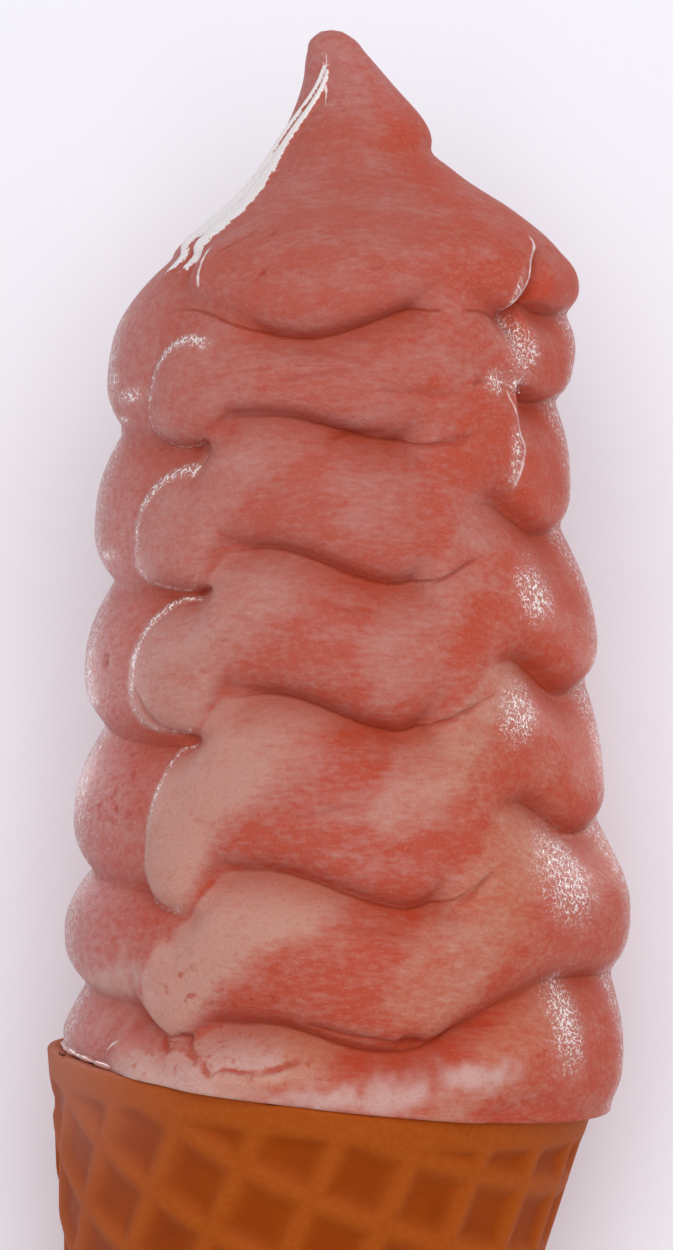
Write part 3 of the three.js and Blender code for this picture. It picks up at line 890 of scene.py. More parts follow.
    def pale_streak(self, part: dict[str, Array], height: Array, column: Column) -> Array:
        """The pale streak of a lobe, which follows its nose and its upper left edge.

        Args:
            part: the lobe's fields.
            height: heights of the points.
            column: the lobe's column; the shorter its noses, the softer the streak's outer edge.

        Returns:
            The streak's strength, from 0 to 1.
        """
        middle, half = (part["top"] + part["bottom"]) / 2, (part["top"] - part["bottom"]) / 2
        lowest = fall(middle, 16, 30)
        across = part["across"] - column.low_streak * lowest
        skewed = across - column.skew * part["up"]
        # Inset is how far a point lies inside the streak's outline, in millimetres.
        side = np.minimum(skewed + 1.02 + 0.5 * (part["length"] - 1), 0)
        inset = half - np.hypot(side * self.streak_reach * math.radians(column.half), height - middle)
        outer = np.where(skewed < -1.02, 0.4 + 1.4 * (1 - column.nose), 0.4)
        slant = across - column.streak_end - column.streak_slope * part["up"]
        band = smooth(inset, -outer, outer) * fall(slant, -0.16, 0.22)
        faint = 1 - 0.45 * (column.nose < 0.5) * lowest
        return column.streak * band * (1 - 0.72 * smooth(middle, 25, 82)) * faint * part["bared"]

    def relief(self, bearing: Array, height: Array) -> dict[str, Array]:
        """The height of the surface over its creases, and what its finish needs to know.

        Heights that touch are blended by a power mean, which rounds the groove between them.

        Args:
            bearing: bearings of the points.
            height: their heights.

        Returns:
            The height as a share of the creases' depth, the pale streaks, the painted glints on the noses'
            edges and how far the noses stand clear of the rest, and the creases' lines, where painted shade
            is laid.
        """
        power, sheet = self.blend_power, self.front_sheet
        back = np.clip(1 - (1 - np.clip((height - self.cap_foot) / 6, 0, 1)) ** EDGE_POWER, 0, 1) ** 0.5
        foot = self.foot_fill * fall(height, 0.5, 3)
        total = sheet.height(bearing, height) ** power + back**power + foot**power
        pale, nose_glint_zone, highest = np.zeros((3, *height.shape))
        gaps, cuts = [height - sheet.edge(bearing)], [1.0 * sheet.covers(bearing, height)]
        for number in range(-LOBES - 2, (len(self.turn_heights) - 3) * LOBES + 1):
            if number == self.tall_lobe + LOBES:
                continue
            part, column = self.lobe(number, bearing, height), COLUMNS[number % LOBES]
            total += part["rise"] ** power + part["bridge"] ** power
            pale = np.maximum(pale, self.pale_streak(part, height, column))
            gaps.append(part["gap"])
            cuts.append(part["cut"])
            # The front column's noses carry a painted glint on their edges.
            if column is FRONT:
                nose_glint_zone = np.maximum(nose_glint_zone, part["nose_glint_zone"] * part["glint"])
                highest = np.maximum(highest, part["rise"] * (part["nose_glint_zone"] > 0))
        bump = total ** (1 / power)
        # Just left of the front column, only its noses carry a streak, where they clear the rest.
        others = np.maximum(total - highest**power, 0) ** (1 / power)
        lead = np.clip(highest - others, -1, 1)
        left = -turn_between(0, bearing)
        beyond = smooth(left, 36, 40) * fall(left, 62, 68)
        pale = pale * (1 - beyond * fall(lead, -0.1, 0.02))
        # The creases' lines, which the finish paints as shade, are faint on the left and where the surface
        # stands high.
        gap, cut = nearest_line(gaps, cuts, [1.0] * len(gaps))
        cut = cut * (1 - 0.75 * smooth(left, 42, 54)) * fall(bump, 0.93, 1.03)
        fields = {"bump": bump, "pale": pale, "nose_glint_zone": nose_glint_zone, "lead": lead}
        return fields | {"fold_gap": gap, "fold_cut": cut}

    def rim_drop(self, x: Array, y: Array, height: Array) -> Array:
        """How much lower a point lies than its own height, as the lowest turn takes up the cone's tilt."""
        return self.cone.rim_drop(x, y) * fall(height, 0, self.wedge_top)

    def full_radius(self, bearing: Array, height: Array, radius: Array) -> Array:
        """The outline's radius with the bulges of back and foot, the melt's lips and the cap's flap.

        Args:
            bearing: bearings of the points.
            height: their heights.
            radius: the outline's radius there.

        Returns:
            The whole radius.
        """
        behind = np.maximum(0.0, -np.cos(np.radians(bearing)))
        radius = radius + self.back_bulge * behind**2 * fall(height, 16, self.back_bulge_top)
        turned = turn_between(0, bearing)
        foot = self.foot_bulge_back * smooth(turned, -120, -90)
        foot = foot + self.foot_bulge_left * smooth(turned, -60, -50)
        foot = self.foot_bulge * foot * fall(turned, -30, -5) * fall(height, 2.5, 8)
        # The flap stands out near its lower edge, over a notch.
        flap = 0.9 * bell(height, 101.8, 2.4) - 0.8 * bell(height, 98.2, 1.1)
        flap = flap * bell(turn_between(self.flap_bearing, bearing), 0, self.flap_width)
        return radius + self.lip * self.front_sheet.lips(bearing, height) + foot + flap

    def side(self, bearing: Array, height: Array, soften: int = 0) -> tuple[Array, dict[str, Array]]:
        """Points of the swirl's side.

        The radius is the outline's, less the creases' depth times what the relief lacks of the crown.

        Args:
            bearing: bearings of the points.
            height: heights from 0 at the skirt to the peak's height.
            soften: how many times the relief is averaged with its neighbours on the grid.

        Returns:
            The points, and for each the fields of its relief.
        """
        outline = np.array(self.outline)
        radius, shift = np.moveaxis(spline(outline[:, 0], outline[:, 1:], height), -1, 0)
        radius = self.full_radius(bearing, height, radius)
        crown = around(bearing, radius, 0.0 * height)
        level = height - self.rim_drop(crown[..., 0] + shift, crown[..., 1], height)
        fields = self.relief(bearing, level)
        bump = fields["bump"]
        for _ in range(soften):
            bump = averaged(bump)
        for name, lines in (("slit", WRINKLES), ("glint_line", ICE_GLINT_LINES)):
            away, gaps, tapers = zip(*[line.measured(bearing, level, radius) for line in lines])
            strengths = [line.strength for line in lines]
            fields[f"{name}_gap"], fields[f"{name}_cut"] = nearest_line(gaps, tapers, strengths)
            for line, distance, taper in zip(lines, away, tapers):
                bump = bump - line.deep * bell(distance, 0, line.wide) * taper
        depth = self.crease_depth * np.minimum(1.0, radius / self.full_depth_radius)
        rise = smooth(height / self.peak_height, 0, 0.05)
        reach = radius - depth * (self.crown - bump) - self.skirt_tuck * (1 - rise)
        points = around(bearing, np.maximum(reach, 0.4 * radius), 0.0 * height)
        points[..., 0] += shift
        drop = self.rim_drop(points[..., 0], points[..., 1], height)
        points[..., 2] = height - drop - self.sag * bump * depth / self.crease_depth * rise
        return points, fields | {"bump": bump, "level": level}


def stains(bearing: Array, level: Array) -> dict[str, Array]:
    """Fields of colour that don't follow the lobes.

    Args:
        bearing: bearings of the points.
        level: their heights, with the cone's tilt taken out.

    Returns:
        The painted sheen of cool side light on the left and the peak, the whitish cream, the pits, the
        frost with its painted glints, the tan of the lower turns, and the warm tone, which is painted shade
        on the right side and a deeper red on the low middle, each from 0 to 1.
    """
    turned = turn_between(0, bearing)
    # Two ripples fray the cream's rims.
    ragged = 0.35 * ripple(bearing, level, 96, 2.0, 5) + 0.25 * ripple(bearing, level, 220, 0.9, 6)
    cream = spots(CREAM, bearing, level)
    frost = np.clip(1.2 * spots(FROST, bearing, level), 0, 1)
    # The painted sheen of cool side light lies along the left side, and a light frost with painted glints
    # on the edges of both sides.
    left = bell(turn_between(-76, bearing), 0, 24) * smooth(level, -2, 6)
    left = left * (1 - 0.5 * smooth(level, 78, 92))
    left = left * (1 + 0.3 * fall(level, 18, 40))
    edges = 0.75 * smooth(np.abs(turned), 66, 80) * fall(np.abs(turned), 100, 120)
    # The warm tone lies on the right side, where it is painted shade, and on the low middle, where it is a
    # deeper red.
    past_right = fall(turned, 96, 120)
    low_middle = 0.8 * smooth(turned, -30, -5) * fall(level, 10, 28)
    return {
        # The painted sheen also lies on the peak.
        "painted_sheen": np.maximum(left, 0.55 * smooth(level, 99, 106)),
        "white": smooth(cream + ragged * np.minimum(1, 3 * cream), 0.1, 1.3),
        "pitted": np.clip(spots(PITS, bearing, level), 0, 1),
        "frost": np.maximum(frost, edges * smooth(84 - level, 0, 4)),
        "tan": fall(level, 22, 66),
        "warm_and_side_shade": np.maximum(smooth(turned, 8, 34), low_middle) * past_right,
    }


@dataclass
class Swirl:
    """The visible soft serve: a fine skin over the swirl's shape, with its plug inside the cone."""

    shape: SwirlShape
    standing: Standing
    columns: int = 336
    side_rings: int = 290
    crowding: float = 0.45
    name: str = "swirl"

    def bearings(self) -> Array:
        """Bearings of the columns: 360 (u - crowding sin(2 pi u) / (2 pi)), closest at the front."""
        u = np.arange(self.columns) / self.columns
        return 360.0 * (u - self.crowding * np.sin(2 * np.pi * u) / (2 * np.pi))

    def build(self) -> Thing:
        """Works out the skin.

        Returns:
            The object, with attributes for its material.
        """
        shape, cone, place = self.shape, self.shape.cone, self.standing.place
        bearing = self.bearings()
        height = shape.peak_height * np.linspace(0.0, 1.0, self.side_rings)
        around_all, up_all = np.meshgrid(bearing, height)
        side, fields = shape.side(around_all, up_all, soften=2)
        fields |= stains(around_all, fields["level"])
        # The wet melt on the cap, whose white is a painted highlight.
        fields["wet"] = shape.front_sheet.wet(around_all, up_all)
        depth = cone.length - cone.plug_end
        inset = cone.wall + cone.gap
        plug = [(cone.wall_radius(depth), depth), (cone.wall_radius(0), 0.4), (cone.wall_radius(0), 0.0)]
        low = [cone.tilted(around(bearing, r - inset, np.full_like(bearing, -z))) for r, z in plug]
        bottom = cone.tilted(np.array([0.0, 0.0, -depth]))
        top = np.array([shape.outline[-1][2], 0.0, shape.peak_height + shape.peak_tip])
        thing = skin(self.name, place(np.concatenate([low, side])), place(np.stack([bottom, top])))
        add_attributes(thing, fields, len(plug), 0, 0.0)
        return thing


# ---- The cone and the trimmings ----


@dataclass
class WaferCone:
    """The rolled sugar cone: a thin wafer with a waffle grid, a plain band, a seam and its hollow."""

    sizes: ConeSizes
    standing: Standing
    columns: int = 300
    rows: int = 236
    pitch: float = 7.9
    offsets: tuple[float, float] = (5.3, 7.7)
    grid_turn: float = 93.0
    rib_width: float = 1.45
    rib_rise: float = 0.3
    pocket: float = 0.55
    plain_tip: float = 8.0
    seam_bearing: float = 215.0
    seam_twist: float = 50.0
    seam_step: float = 1.2
    seam_fade: float = 100.0
    worn: float = 0.1
    wobble: float = 0.12
    chew: float = 0.25
    wash_bearing: float = -68.0  # the middle of the milky wash under the rim
    wash_width: float = 26.0
    inner_depths: tuple[float, ...] = (0.0, 0.8, 3.0, 12.0, 60.0)
    name: str = "wafer"

    def ribs(self, bearing: Array, depth: Array) -> Array:
        """The waffle grid's height, from 0 on a pocket's floor to 1 on a rib.

        Unrolled, a cone is a fan: a point lies at its slant distance from the tip, at its bearing times
        the sine of the cone's half angle. Each rib is a bell across its line on that fan, and where two
        cross the higher one is kept.

        Args:
            bearing: bearings of the points.
            depth: depths below the rim.

        Returns:
            The height at each point.
        """
        sine = math.sin(math.atan((self.sizes.wall_radius(0) - self.sizes.tip_radius) / self.sizes.length))
        slant = self.sizes.wall_radius(depth) / sine
        turn = np.radians(turn_between(self.grid_turn, bearing)) * sine
        lines = []
        for along, offset in zip((slant * np.sin(turn), slant * np.cos(turn)), self.offsets):
            away = np.mod(along - offset + self.pitch / 2, self.pitch) - self.pitch / 2
            lines.append(bell(away, 0, self.rib_width, 2.6))
        return np.maximum(*lines)

    def outer_depths(self) -> Array:
        """Where the outer rings lie, closest at the band and the rim's edge.

        Returns:
            Depths below the rim, from the tip up.
        """
        sizes, edge = self.sizes, self.sizes.rim_edge
        wall = np.linspace(sizes.length - sizes.tip_rounding, sizes.band + 0.3, self.rows)
        band = [sizes.band - 0.4, sizes.band - 1.0, 1.7, 1.1, edge, 0.5 * edge, 0.12 * edge, 0.0]
        return np.concatenate([[sizes.length - 0.6], wall, band])

    def outer(self, bearing: Array, depth: Array, ribs: Array, band: Array) -> Array:
        """Points of the outer skin.

        The radius is the wall's, with the waffle, the band, the step of the seam, which thins away over a
        fade, a slight wobble and a rounded, chewed rim.

        Args:
            bearing: bearings of the points.
            depth: depths below the rim.
            ribs: the waffle's height there.
            band: 1 on the band and 0 below it.

        Returns:
            The points in the cone's own space.
        """
        sizes, edge = self.sizes, self.sizes.rim_edge
        waffle = (ribs * (self.rib_rise + self.pocket) - self.pocket) * (1 - band)
        waffle = waffle * smooth(sizes.length - depth, 1, self.plain_tip)
        rim = np.clip(1 - depth / edge, 0, 1)
        radius = sizes.wall_radius(depth) + waffle + band * sizes.band_proud
        radius = radius - edge * (1 - np.sqrt(1 - rim**2))
        radius = np.where(depth > sizes.length - 1, 0.6 * sizes.tip_radius, radius)
        past = np.mod(bearing - self.seam_bearing - self.seam_twist * depth / sizes.length, 360.0)
        flap = self.seam_step * np.clip(1 - past / self.seam_fade, 0, 1) * (depth > edge / 2)
        wobble = self.wobble * ripple(bearing, depth, 24, 9.0, 31)
        radius = radius + (flap + wobble) * (1 - rim) - self.worn
        chew = self.chew * ripple(bearing, 0 * depth, 140, 5.0, 32) ** 2 * rim
        return around(bearing, radius, -depth - chew)

    def build(self) -> Thing:
        """Works out the wafer's skin.

        Returns:
            The object, with the ribs' height and the milky wash under the rim as attributes.
        """
        sizes, place = self.sizes, self.standing.place
        bearing = np.arange(self.columns) * 360.0 / self.columns
        around_all, depth_all = np.meshgrid(bearing, self.outer_depths())
        ribs = self.ribs(around_all, depth_all)
        band = smooth(-depth_all, -sizes.band - 0.9, -sizes.band + 0.6)
        hollow = sizes.length - sizes.plug_end + sizes.wall
        inner_around, inner_depth = np.meshgrid(bearing, [*self.inner_depths, hollow])
        inner = around(inner_around, sizes.wall_radius(inner_depth) - sizes.wall, -inner_depth)
        rings = np.concatenate([self.outer(around_all, depth_all, ribs, band), inner])
        poles = np.array([[0.0, 0.0, -sizes.length], [0.0, 0.0, -hollow]])
        thing = skin(self.name, place(sizes.tilted(rings)), place(sizes.tilted(poles)))
        wash = bell(turn_between(self.wash_bearing, around_all), 0, self.wash_width)
        wash = wash * (1 - 0.75 * smooth(depth_all, 2, 14))
        add_attributes(thing, {"ribs": np.maximum(ribs, band), "wash": wash}, 0, len(inner), 1.0)
        return thing


@dataclass
class MeltRing:
    """Melted soft serve round the rim: a wet bead where the swirl meets the wafer, wide on the left."""

    cone: ConeSizes
    standing: Standing
    columns: int = 720
    sides: int = 14
    thickness: float = 0.34
    left_bearing: float = -68.0  # the middle of its wide part
    left_width: float = 30.0
    widening: float = 0.5
    name: str = "melt"

    def build(self) -> Thing:
        """Works out the bead.

        Returns:
            The object: a closed tube of uneven thickness that lies on the rim's inner edge.
        """
        bearing = np.arange(self.columns) * 360.0 / self.columns
        left = bell(turn_between(self.left_bearing, bearing), 0, self.left_width)
        zero = 0 * bearing
        rough = 0.12 * ripple(bearing, zero, 90, 2.0, 41) + 0.1 * ripple(bearing, zero, 220, 2.0, 42)
        thick = self.thickness + rough
        turn = np.radians(np.arange(self.sides) * 360.0 / self.sides)[:, None]
        middle = self.cone.wall_radius(0) - self.cone.wall + 0.35 - 0.3 * left
        radius = middle + (thick + self.widening * left) * np.cos(turn)
        points = around(bearing, radius, 0.05 + 0.25 * left + thick * np.sin(turn))
        return skin(self.name, self.standing.place(self.cone.tilted(points))[::-1])


# ---- Finishes ----


@dataclass(frozen=True)
class Signal:
    """A value that a shader's node gives out. Its arithmetic adds nodes to the shader."""

    shader: "Shader"
    socket: bpy.types.NodeSocket

    def maths(self, operation: str, other: "Signal | float" = 0.0, clamp: bool = False) -> "Signal":
        """The outcome of a maths node that reads this signal first and the other value second."""
        settings = {"operation": operation, "use_clamp": clamp}
        return self.shader.node("ShaderNodeMath", 0, settings, i0=self, i1=other)

    def __add__(self, other: "Signal | float") -> "Signal":
        """The sum."""
        return self.maths("ADD", other)

    def __sub__(self, other: "Signal | float") -> "Signal":
        """The difference."""
        return self.maths("SUBTRACT", other)

    def __mul__(self, other: "Signal | float") -> "Signal":
        """The product."""
        return self.maths("MULTIPLY", other)

    def higher(self, other: "Signal | float") -> "Signal":
        """The higher of the two."""
        return self.maths("MAXIMUM", other)

    def size(self) -> "Signal":
        """The value without its sign."""
        return self.maths("ABSOLUTE")

    def held(self) -> "Signal":
        """The value, held between 0 and 1."""
        return self.maths("ADD", 0.0, clamp=True)


class Shader:
    """A new material, whose nodes are added one by one."""

    def __init__(self, name: str) -> None:
        """Starts the material.

        Args:
            name: its name.
        """
        self.material = bpy.data.materials.new(name)
        self.material.use_nodes = True
        self.tree = self.material.node_tree

    def fill(self, node: bpy.types.Node, inputs: dict[str, object]) -> None:
        """Sets inputs of a node.

        Args:
            node: the node.
            inputs: values by the input's name, with "_" for a space, or by its place, as in i0. A signal
                is linked, and a colour is given by its sRGB hex code.
        """
        for key, value in inputs.items():
            target = node.inputs[int(key[1:]) if key[1:].isdigit() else key.replace("_", " ")]
            if isinstance(value, Signal):
                self.tree.links.new(value.socket, target)
            else:
                target.default_value = linear(value) if isinstance(value, str) else value

    def node(self, kind: str, output: int | str, settings: dict[str, object], **inputs: object) -> Signal:
        """Adds a node.

        Args:
            kind: its type.
            output: the place or the name of the output that is wanted.
            settings: its properties by name.
            inputs: its inputs, as fill takes them.

        Returns:
            The signal of that output.
        """
        node = self.tree.nodes.new(kind)
        for key, value in settings.items():
            setattr(node, key, value)
        self.fill(node, inputs)
        return Signal(self, node.outputs[output])

    def read(self, name: str) -> Signal:
        """An attribute of the mesh."""
        return self.node("ShaderNodeAttribute", "Fac", {"attribute_name": name})

    def mix(self, amount: Signal, first: Signal | str, second: Signal | str) -> Signal:
        """A colour between two others, the second where the amount is 1."""
        return self.node("ShaderNodeMix", 2, {"data_type": "RGBA"}, i0=amount, i6=first, i7=second)

    def noise(self, size_mm: float, detail: float, squash: tuple[float, ...] = (1.0, 1.0, 1.0)) -> Signal:
        """Smooth noise in the piece's own space.

        Args:
            size_mm: the size of its cells.
            detail: how many finer octaves it has.
            squash: how much closer it is along x, y and z.

        Returns:
            The noise, about 0.5.
        """
        place = self.node("ShaderNodeTexCoord", "Object", {})
        scale = [share / (size_mm * MM) for share in squash]
        scaled = self.node("ShaderNodeMapping", 0, {}, Vector=place, Scale=scale)
        return self.node("ShaderNodeTexNoise", 0, {}, Vector=scaled, Scale=1.0, Detail=detail)

    def bump(self, height: Signal, strength: float, distance_mm: float) -> Signal:
        """The normal of a surface that is raised by a signal."""
        distance = distance_mm * MM
        return self.node("ShaderNodeBump", 0, {}, Height=height, Strength=strength, Distance=distance)

    def finish(self, **inputs: object) -> Material:
        """Sets inputs of the surface, as fill takes them, and gives the material."""
        self.fill(self.tree.nodes["Principled BSDF"], inputs)
        return self.material


@dataclass(frozen=True)
class StrawberrySoftServe:
    """Frozen strawberry soft serve, pulled from a star nozzle: red fruit base with paler milky streaks."""

    # deep is painted shade: a deeper red in the grooves.
    deep: str = "#b03c1a"
    # crease is painted shade: the thin dark lines along the creases.
    crease: str = "#98300f"
    crack: str = "#b23a22"
    red: str = "#bd5a49"
    # low_red, with peach, is also the tone of the painted shade on the right side.
    low_red: str = "#c2503a"
    mauve: str = "#bd6c62"
    pale: str = "#cf9c92"
    rose: str = "#bf7d74"
    tan: str = "#cd9484"
    peach: str = "#cc9070"
    # The painted sheen of cool side light on the left and the peak.
    painted_sheen: str = "#ca8f8d"
    # Whitish cream, also the haze under the painted glints.
    white: str = "#d3a79e"
    # Near white of the painted glints of ice and of the wet melt's painted highlight.
    ice: str = "#fff0ee"
    grain_mm: float = 0.26
    fleck_mm: float = 0.8
    cloud_mm: float = 3.6
    fibre_mm: float = 0.55
    curl_mm: float = 0.6
    pit_mm: float = 1.1
    fold_mm: float = 0.4
    slit_mm: float = 1.4
    glint_line_mm: float = 1.0

    def churned(self, shader: Shader, grain: Signal, flecks: Signal) -> Signal:
        """The churned cream's colour: red base, mauve mottles, and streaks that fray into both.

        Args:
            shader: the shader.
            grain: the finest noise.
            flecks: the middle noise.

        Returns:
            The colour.
        """
        read, mix = shader.read, shader.mix
        clouds = shader.noise(self.cloud_mm, 4.0, (0.6, 1.2, 1.0))
        fibres = shader.noise(self.fibre_mm, 3.0, (0.3, 1.2, 1.0))
        drawn_out = (read("level") * -0.05 + 4.6).held()
        mottle = flecks * 1.1 + clouds * 1.3 - drawn_out * 0.07 - 1.1
        mottle = (mottle + (fibres - 0.5) * (drawn_out * 0.35 + 0.3) + grain * 0.8).held()
        streak = (read("pale") + clouds * 1.1 + flecks * 0.6 + fibres * 0.8 - 1.17).held()
        # The warm tone, deeper and less mottled, is painted shade on the right side and a deeper red on the
        # low middle.
        red = mix(read("tan").higher(read("warm_and_side_shade")), self.red, self.low_red)
        dark = mix(mottle * (read("warm_and_side_shade") * -0.75 + 1.0), red, self.mauve)
        light = mix(read("tan"), self.rose, mix(read("warm_and_side_shade"), self.tan, self.peach))
        return mix(streak, dark, mix(mottle * 0.5, light, self.pale))

    def stained(self, shader: Shader, colour: Signal, grain: Signal, flecks: Signal) -> Signal:
        """A colour with its painted sheen, cream, dark and light grains, and painted shade in the deep
        grooves.

        Args:
            shader: the shader.
            colour: the colour before.
            grain: the finest noise.
            flecks: the middle noise.

        Returns:
            The colour after.
        """
        read, mix = shader.read, shader.mix
        # Painted sheen of cool side light on the left and the peak.
        colour = mix((read("painted_sheen") * (flecks * 1.6 - 0.15)).held(), colour, self.painted_sheen)
        colour = mix(read("white"), colour, self.white)
        colour = mix(((grain - 0.53) * 1.5).held(), colour, self.low_red)
        colour = mix((grain * -1.2 + 0.54).held(), colour, self.white)
        # Painted shade: the grooves, where the relief is low, turn a deeper red.
        return mix((read("bump") * 1.2).held() * -0.85 + 0.85, colour, self.deep)

    def material(self) -> Material:
        """Makes the material.

        The creases' lines, painted shade, and cracks and pits cut into the stained colour, and ice drawn as
        painted
        glints lies over it: curly crystals on the frost and on the noses' edges, the wet melt's painted
        highlight, and thin icicles.

        Returns:
            The material, which reads its mesh's attributes.
        """
        shader = Shader("strawberry_soft_serve_churned")
        read, mix, noise = shader.read, shader.mix, shader.noise
        grain, flecks = noise(self.grain_mm, 2.0), noise(self.fleck_mm, 4.0, (0.85, 1.15, 1.0))
        colour = self.stained(shader, self.churned(shader, grain, flecks), grain, flecks)

        def thin(name: str, width_mm: float) -> Signal:
            """A ragged line, where the attributes of a line say that it runs."""
            away = read(f"{name}_gap").size() * (2 / width_mm)
            return ((flecks * 2.2 - 0.1 - away) * 1.5).held() * read(f"{name}_cut")

        # The creases' thin dark lines are painted shade.
        fold, slit = thin("fold", self.fold_mm), thin("slit", self.slit_mm)
        colour = mix(fold * 0.55, colour, self.crease)
        pits = ((noise(self.pit_mm, 1.0) - 0.57) * 9.0).held() * read("pitted")
        bitten = pits.higher(slit) * (read("white") * 0.3 + 0.65)
        colour = mix(bitten, colour, mix(read("white"), self.crack, self.low_red))
        curl = noise(self.curl_mm, 2.0, (1.25, 0.8, 0.7))
        # A painted glint line along each nose's edge, where it just clears its neighbour.
        rim = ((read("lead") - 0.06).size() * -11.0 + 1.1).held() * read("nose_glint_zone")
        icy_glints = read("frost").higher(rim)
        # Curly crystals: painted glints on the frost and on the noses' edges.
        crystals = (rim * (curl * 7.5 - 2.3) + read("frost")) * flecks * 0.075
        crystals = ((crystals - (curl - 0.5).size()) * 55.0).held()
        # The wet melt's white is a painted highlight.
        wet = ((read("wet") + flecks * 0.9 + grain * 0.5 - 1.32) * 9.0).held()
        ice = crystals.higher(wet).higher(thin("glint_line", self.glint_line_mm))
        # Painted glints: near white ice over a whitish haze where frost and glints lie.
        colour = mix(ice, mix((icy_glints * 0.35).held(), colour, self.white), self.ice)
        rough = grain * 0.35 + flecks * 0.65 + curl * icy_glints * 1.2 - fold.higher(slit) * 0.4
        normal = shader.bump(rough, 0.6, 0.5)
        return shader.finish(
            Base_Color=colour,
            Normal=normal,
            Coat_Normal=normal,
            Coat_Weight=ice.higher(icy_glints * 0.4).held() * 0.85 + 0.02,
            Coat_Roughness=0.12,
            Coat_IOR=1.3,
            Roughness=0.45,
            Specular_IOR_Level=0.05,
            IOR=1.34,
            Subsurface_Weight=0.35,
            Subsurface_Radius=(2.2, 0.9, 0.6),
            Subsurface_Scale=MM,
            Sheen_Weight=0.03,
            Sheen_Roughness=0.45,
        )


@dataclass(frozen=True)
class SugarWafer:
    """Baked sugar cone wafer: orange brown, with painted shade in the waffle's pockets and painted light on
    its ribs.
    """

    # pocket is painted shade in the waffle's hollows; rib is painted light on the ribs.
    pocket: str = "#8c3400"
    body: str = "#a84600"
    rib: str = "#b65a1c"
    milk: str = "#cc8474"
    patch_mm: float = 1000 / 220
    crumb_mm: float = 1000 / 1500

    def material(self) -> Material:
        """Makes the material.

        Returns:
            The material, which reads its mesh's attributes ribs and wash.
        """
        shader = Shader("sugar_wafer_baked")
        read, mix = shader.read, shader.mix
        patch, crumb = shader.noise(self.patch_mm, 3.0), shader.noise(self.crumb_mm, 2.0)
        # The ribs' height mixes the pockets' painted shade with the ribs' painted light.
        both = mix(read("ribs"), mix(patch, self.pocket, self.body), mix(crumb, self.body, self.rib))
        return shader.finish(
            Base_Color=mix(read("wash") * 0.42, both, self.milk),
            Normal=shader.bump(crumb, 0.4, 0.2),
            Roughness=0.65,
            Specular_IOR_Level=0.1,
            Subsurface_Weight=0.1,
            Subsurface_Radius=(1.5, 0.6, 0.2),
            Subsurface_Scale=MM,
        )


@dataclass(frozen=True)
class PlainFinish:
    """A finish of one colour, with other inputs of the shader where they differ from its own."""

    name: str
    colour: str
    roughness: float
    more: dict[str, object] = field(default_factory=dict)

    def material(self) -> Material:
        """Makes the material."""
        return Shader(self.name).finish(Base_Color=self.colour, Roughness=self.roughness, **self.more)


MELT = PlainFinish(
    "melted_soft_serve_wet", "#c28d84", 0.12, {"Subsurface_Weight": 0.3, "Subsurface_Scale": MM}
)
CRYSTAL = PlainFinish("frost_crystals_ice", "#e8d4d2", 0.2)
CRUMB = PlainFinish("wafer_crumb_toasted", "#6d2c12", 0.7)
FLOOR = PlainFinish("pale_floor", "#fbf8ff", 0.9, {"Emission_Color": "#f4f2ff", "Emission_Strength": 0.07})


# ---- The studio ----


@dataclass(frozen=True)
class AreaLight:
    """An area light that faces the treat's middle, in the frame's metres."""

    name: str
    at: tuple[float, float, float]
    size: tuple[float, float]
    watts: float
    tint: str = "#ffffff"
    glints: bool = False  # whether it only makes glints on wet surfaces, and lights nothing else

    def build(self, target: Vector) -> None:
        """Adds the light.

        Args:
            target: the place that it faces.
        """
        data = bpy.data.lights.new(self.name, "AREA")
        data.shape = "RECTANGLE"
        data.size, data.size_y = self.size
        data.energy = self.watts
        data.color = linear(self.tint)[:3]
        light = bpy.data.objects.new(self.name, data)
        light.visible_diffuse = not self.glints
        light.visible_camera = False
        light.location = self.at
        up = "X" if abs(self.at[0]) < 0.01 else "Z"
        light.rotation_euler = (target - Vector(self.at)).to_track_quat("-Z", up).to_euler()
        bpy.context.scene.collection.objects.link(light)


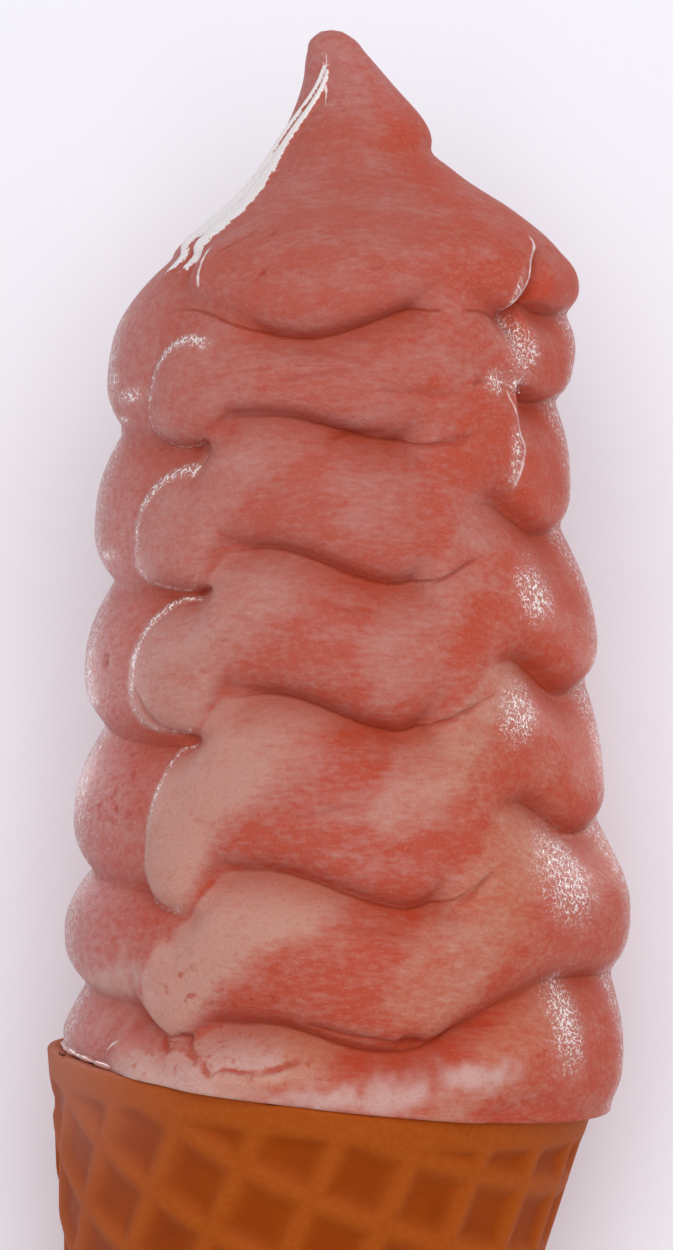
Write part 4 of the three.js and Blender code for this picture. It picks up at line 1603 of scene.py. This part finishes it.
@dataclass
class Studio:
    """A pale floor, soft lights and the camera, which looks level at the middle of the swirl's height."""

    standing: Standing
    aim: tuple[float, float, float] = (1.65, 0.0, 48.1)
    distance: float = 500.0
    frame_height: float = 131.6
    sensor: float = 36.0
    target: tuple[float, float, float] = (0.0, 0.03, 0.03)
    background: tuple[float, float, float, float] = (0.88, 0.92, 0.96, 1.0)
    background_strength: float = 0.40
    floor_half: float = 1.5
    lights: tuple[AreaLight, ...] = (
        AreaLight("overhead", (0.0, 0.1, 0.9), (0.8, 0.8), 5.2),
        AreaLight("right_side", (0.7, 0.1, 0.35), (0.5, 0.5), 0.5, "#fff4ee"),
        AreaLight("left_low", (-0.05, 0.05, 0.002), (0.22, 0.005), 0.07, "#f6f8ff", glints=True),
        AreaLight("right_low", (0.055, 0.05, 0.002), (0.22, 0.006), 0.06, glints=True),
    )

    def camera(self) -> None:
        """Places the camera in front of the standing swirl: it looks along +Y with +Z up."""
        data = bpy.data.cameras.new("camera")
        data.sensor_width = self.sensor
        data.lens = self.sensor * self.distance / self.frame_height
        data.clip_start, data.clip_end = 0.01, 20.0
        camera = bpy.data.objects.new("camera", data)
        x, y, z = self.aim
        stand = Matrix.Translation(Vector((x, y - self.distance, z)) * MM)
        camera.matrix_world = self.standing.matrix() @ stand @ Matrix.Rotation(math.pi / 2, 4, "X")
        bpy.context.scene.collection.objects.link(camera)
        bpy.context.scene.camera = camera

    def floor(self) -> None:
        """Lays a wide plain floor."""
        corners = self.floor_half * np.array([[-1, -1, 0], [1, -1, 0], [1, 1, 0], [-1, 1, 0]])
        thing = mesh_object("floor", corners, np.array([[0, 1, 2, 3]]))
        thing.data.materials.append(FLOOR.material())

    def build(self) -> None:
        """Sets the camera, floor, lights and background."""
        self.camera()
        self.floor()
        for light in self.lights:
            light.build(Vector(self.target))
        scene, world = bpy.context.scene, bpy.data.worlds.new("studio")
        world.use_nodes = True
        background = world.node_tree.nodes["Background"]
        background.inputs["Color"].default_value = self.background
        background.inputs["Strength"].default_value = self.background_strength
        scene.world = world
        scene.view_settings.view_transform = "Standard"


# ---- The treat ----


@dataclass
class Treat:
    """The whole treat: swirl, wafer, melted bead, wafer chips and frost."""

    shape: SwirlShape
    standing: Standing
    tries: int = 60000
    chance: float = 0.12
    chips: int = 26
    placed_chips: tuple[float, ...] = (-38.0, -36.5, -22.0, -21.0)

    def keep(self, thing: Thing, material: Material, slot: Slot, node: str | None = None) -> None:
        """Dresses a piece, ties it to the frame and reports it.

        Args:
            thing: the piece.
            material: its material.
            slot: its slot; not used.
            node: the CAD node it replaces, if any.
        """
        thing.data.materials.append(material)
        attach(thing, "root")
        if node:
            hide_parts(node)
        log.info("%s: %d points, %d faces", thing.name, len(thing.data.vertices), len(thing.data.polygons))

    def frost(self) -> Thing:
        """Ice crystals in the frosty patches of the right column and along the left of the noses.

        Places are tried at random and kept by chance, which grows with the square of the frost there.

        Returns:
            The object.
        """
        rng = np.random.default_rng(7)
        bearing, height = rng.uniform(-80, 85, self.tries), rng.uniform(4, 88, self.tries)
        corners = np.stack([bearing, bearing + 0.5, bearing]), np.stack([height, height, height + 0.3])
        points, fields = self.shape.side(*corners)
        frost = stains(bearing, fields["level"][0])["frost"]
        points = points[:, rng.random(self.tries) < self.chance * frost**2]
        normals = np.cross(points[1] - points[0], points[2] - points[0])
        normals /= np.linalg.norm(normals, axis=1, keepdims=True)
        sizes = rng.uniform(0.05, 0.15, len(normals)) * MM
        return specks("frost", 8, self.standing.place(points[0]), self.standing.turned(normals), sizes, 0.5)

    def wafer_chips(self) -> Thing:
        """Dark baked crumbs along the rim.

        Returns:
            The object.
        """
        rng = np.random.default_rng(9)
        bearing = np.concatenate([rng.uniform(-75, 60, self.chips), self.placed_chips])
        cone = self.shape.cone
        radius = cone.rim_radius - rng.uniform(0.2, 1.0, len(bearing))
        points = self.standing.place(cone.tilted(around(bearing, radius, 0.02)))
        normals = self.standing.turned(cone.tilted(np.tile([0.0, 0.0, 1.0], (len(bearing), 1))))
        sizes = rng.uniform(0.12, 0.4, len(bearing)) * MM
        return specks("wafer_chips", 10, points, normals, sizes, 0.6)

    def build(self) -> None:
        """Builds every piece."""
        cone, standing, serve = self.shape.cone, self.standing, StrawberrySoftServe().material()
        self.keep(Swirl(self.shape, standing).build(), serve, Slot.SOFT_SERVE, "soft_serve")
        self.keep(WaferCone(cone, standing).build(), SugarWafer().material(), Slot.SUGAR_WAFER, "cone")
        self.keep(MeltRing(cone, standing).build(), MELT.material(), Slot.SOFT_SERVE)
        self.keep(self.frost(), CRYSTAL.material(), Slot.SOFT_SERVE)
        self.keep(self.wafer_chips(), CRUMB.material(), Slot.SUGAR_WAFER)


def main() -> None:
    """Builds the treat and its studio, and notes the sizes."""
    logging.basicConfig(level=logging.INFO, format="%(name)s: %(message)s")
    cone = ConeSizes()
    shape = SwirlShape(cone)
    standing = Standing(cone, shape.peak_height + shape.peak_tip)
    log.info("turn %.2f degrees, move %s mm", math.degrees(standing.turn), standing.move.round(3))
    Treat(shape, standing).build()
    Studio(standing).build()


if __name__ == "__main__":
    main()
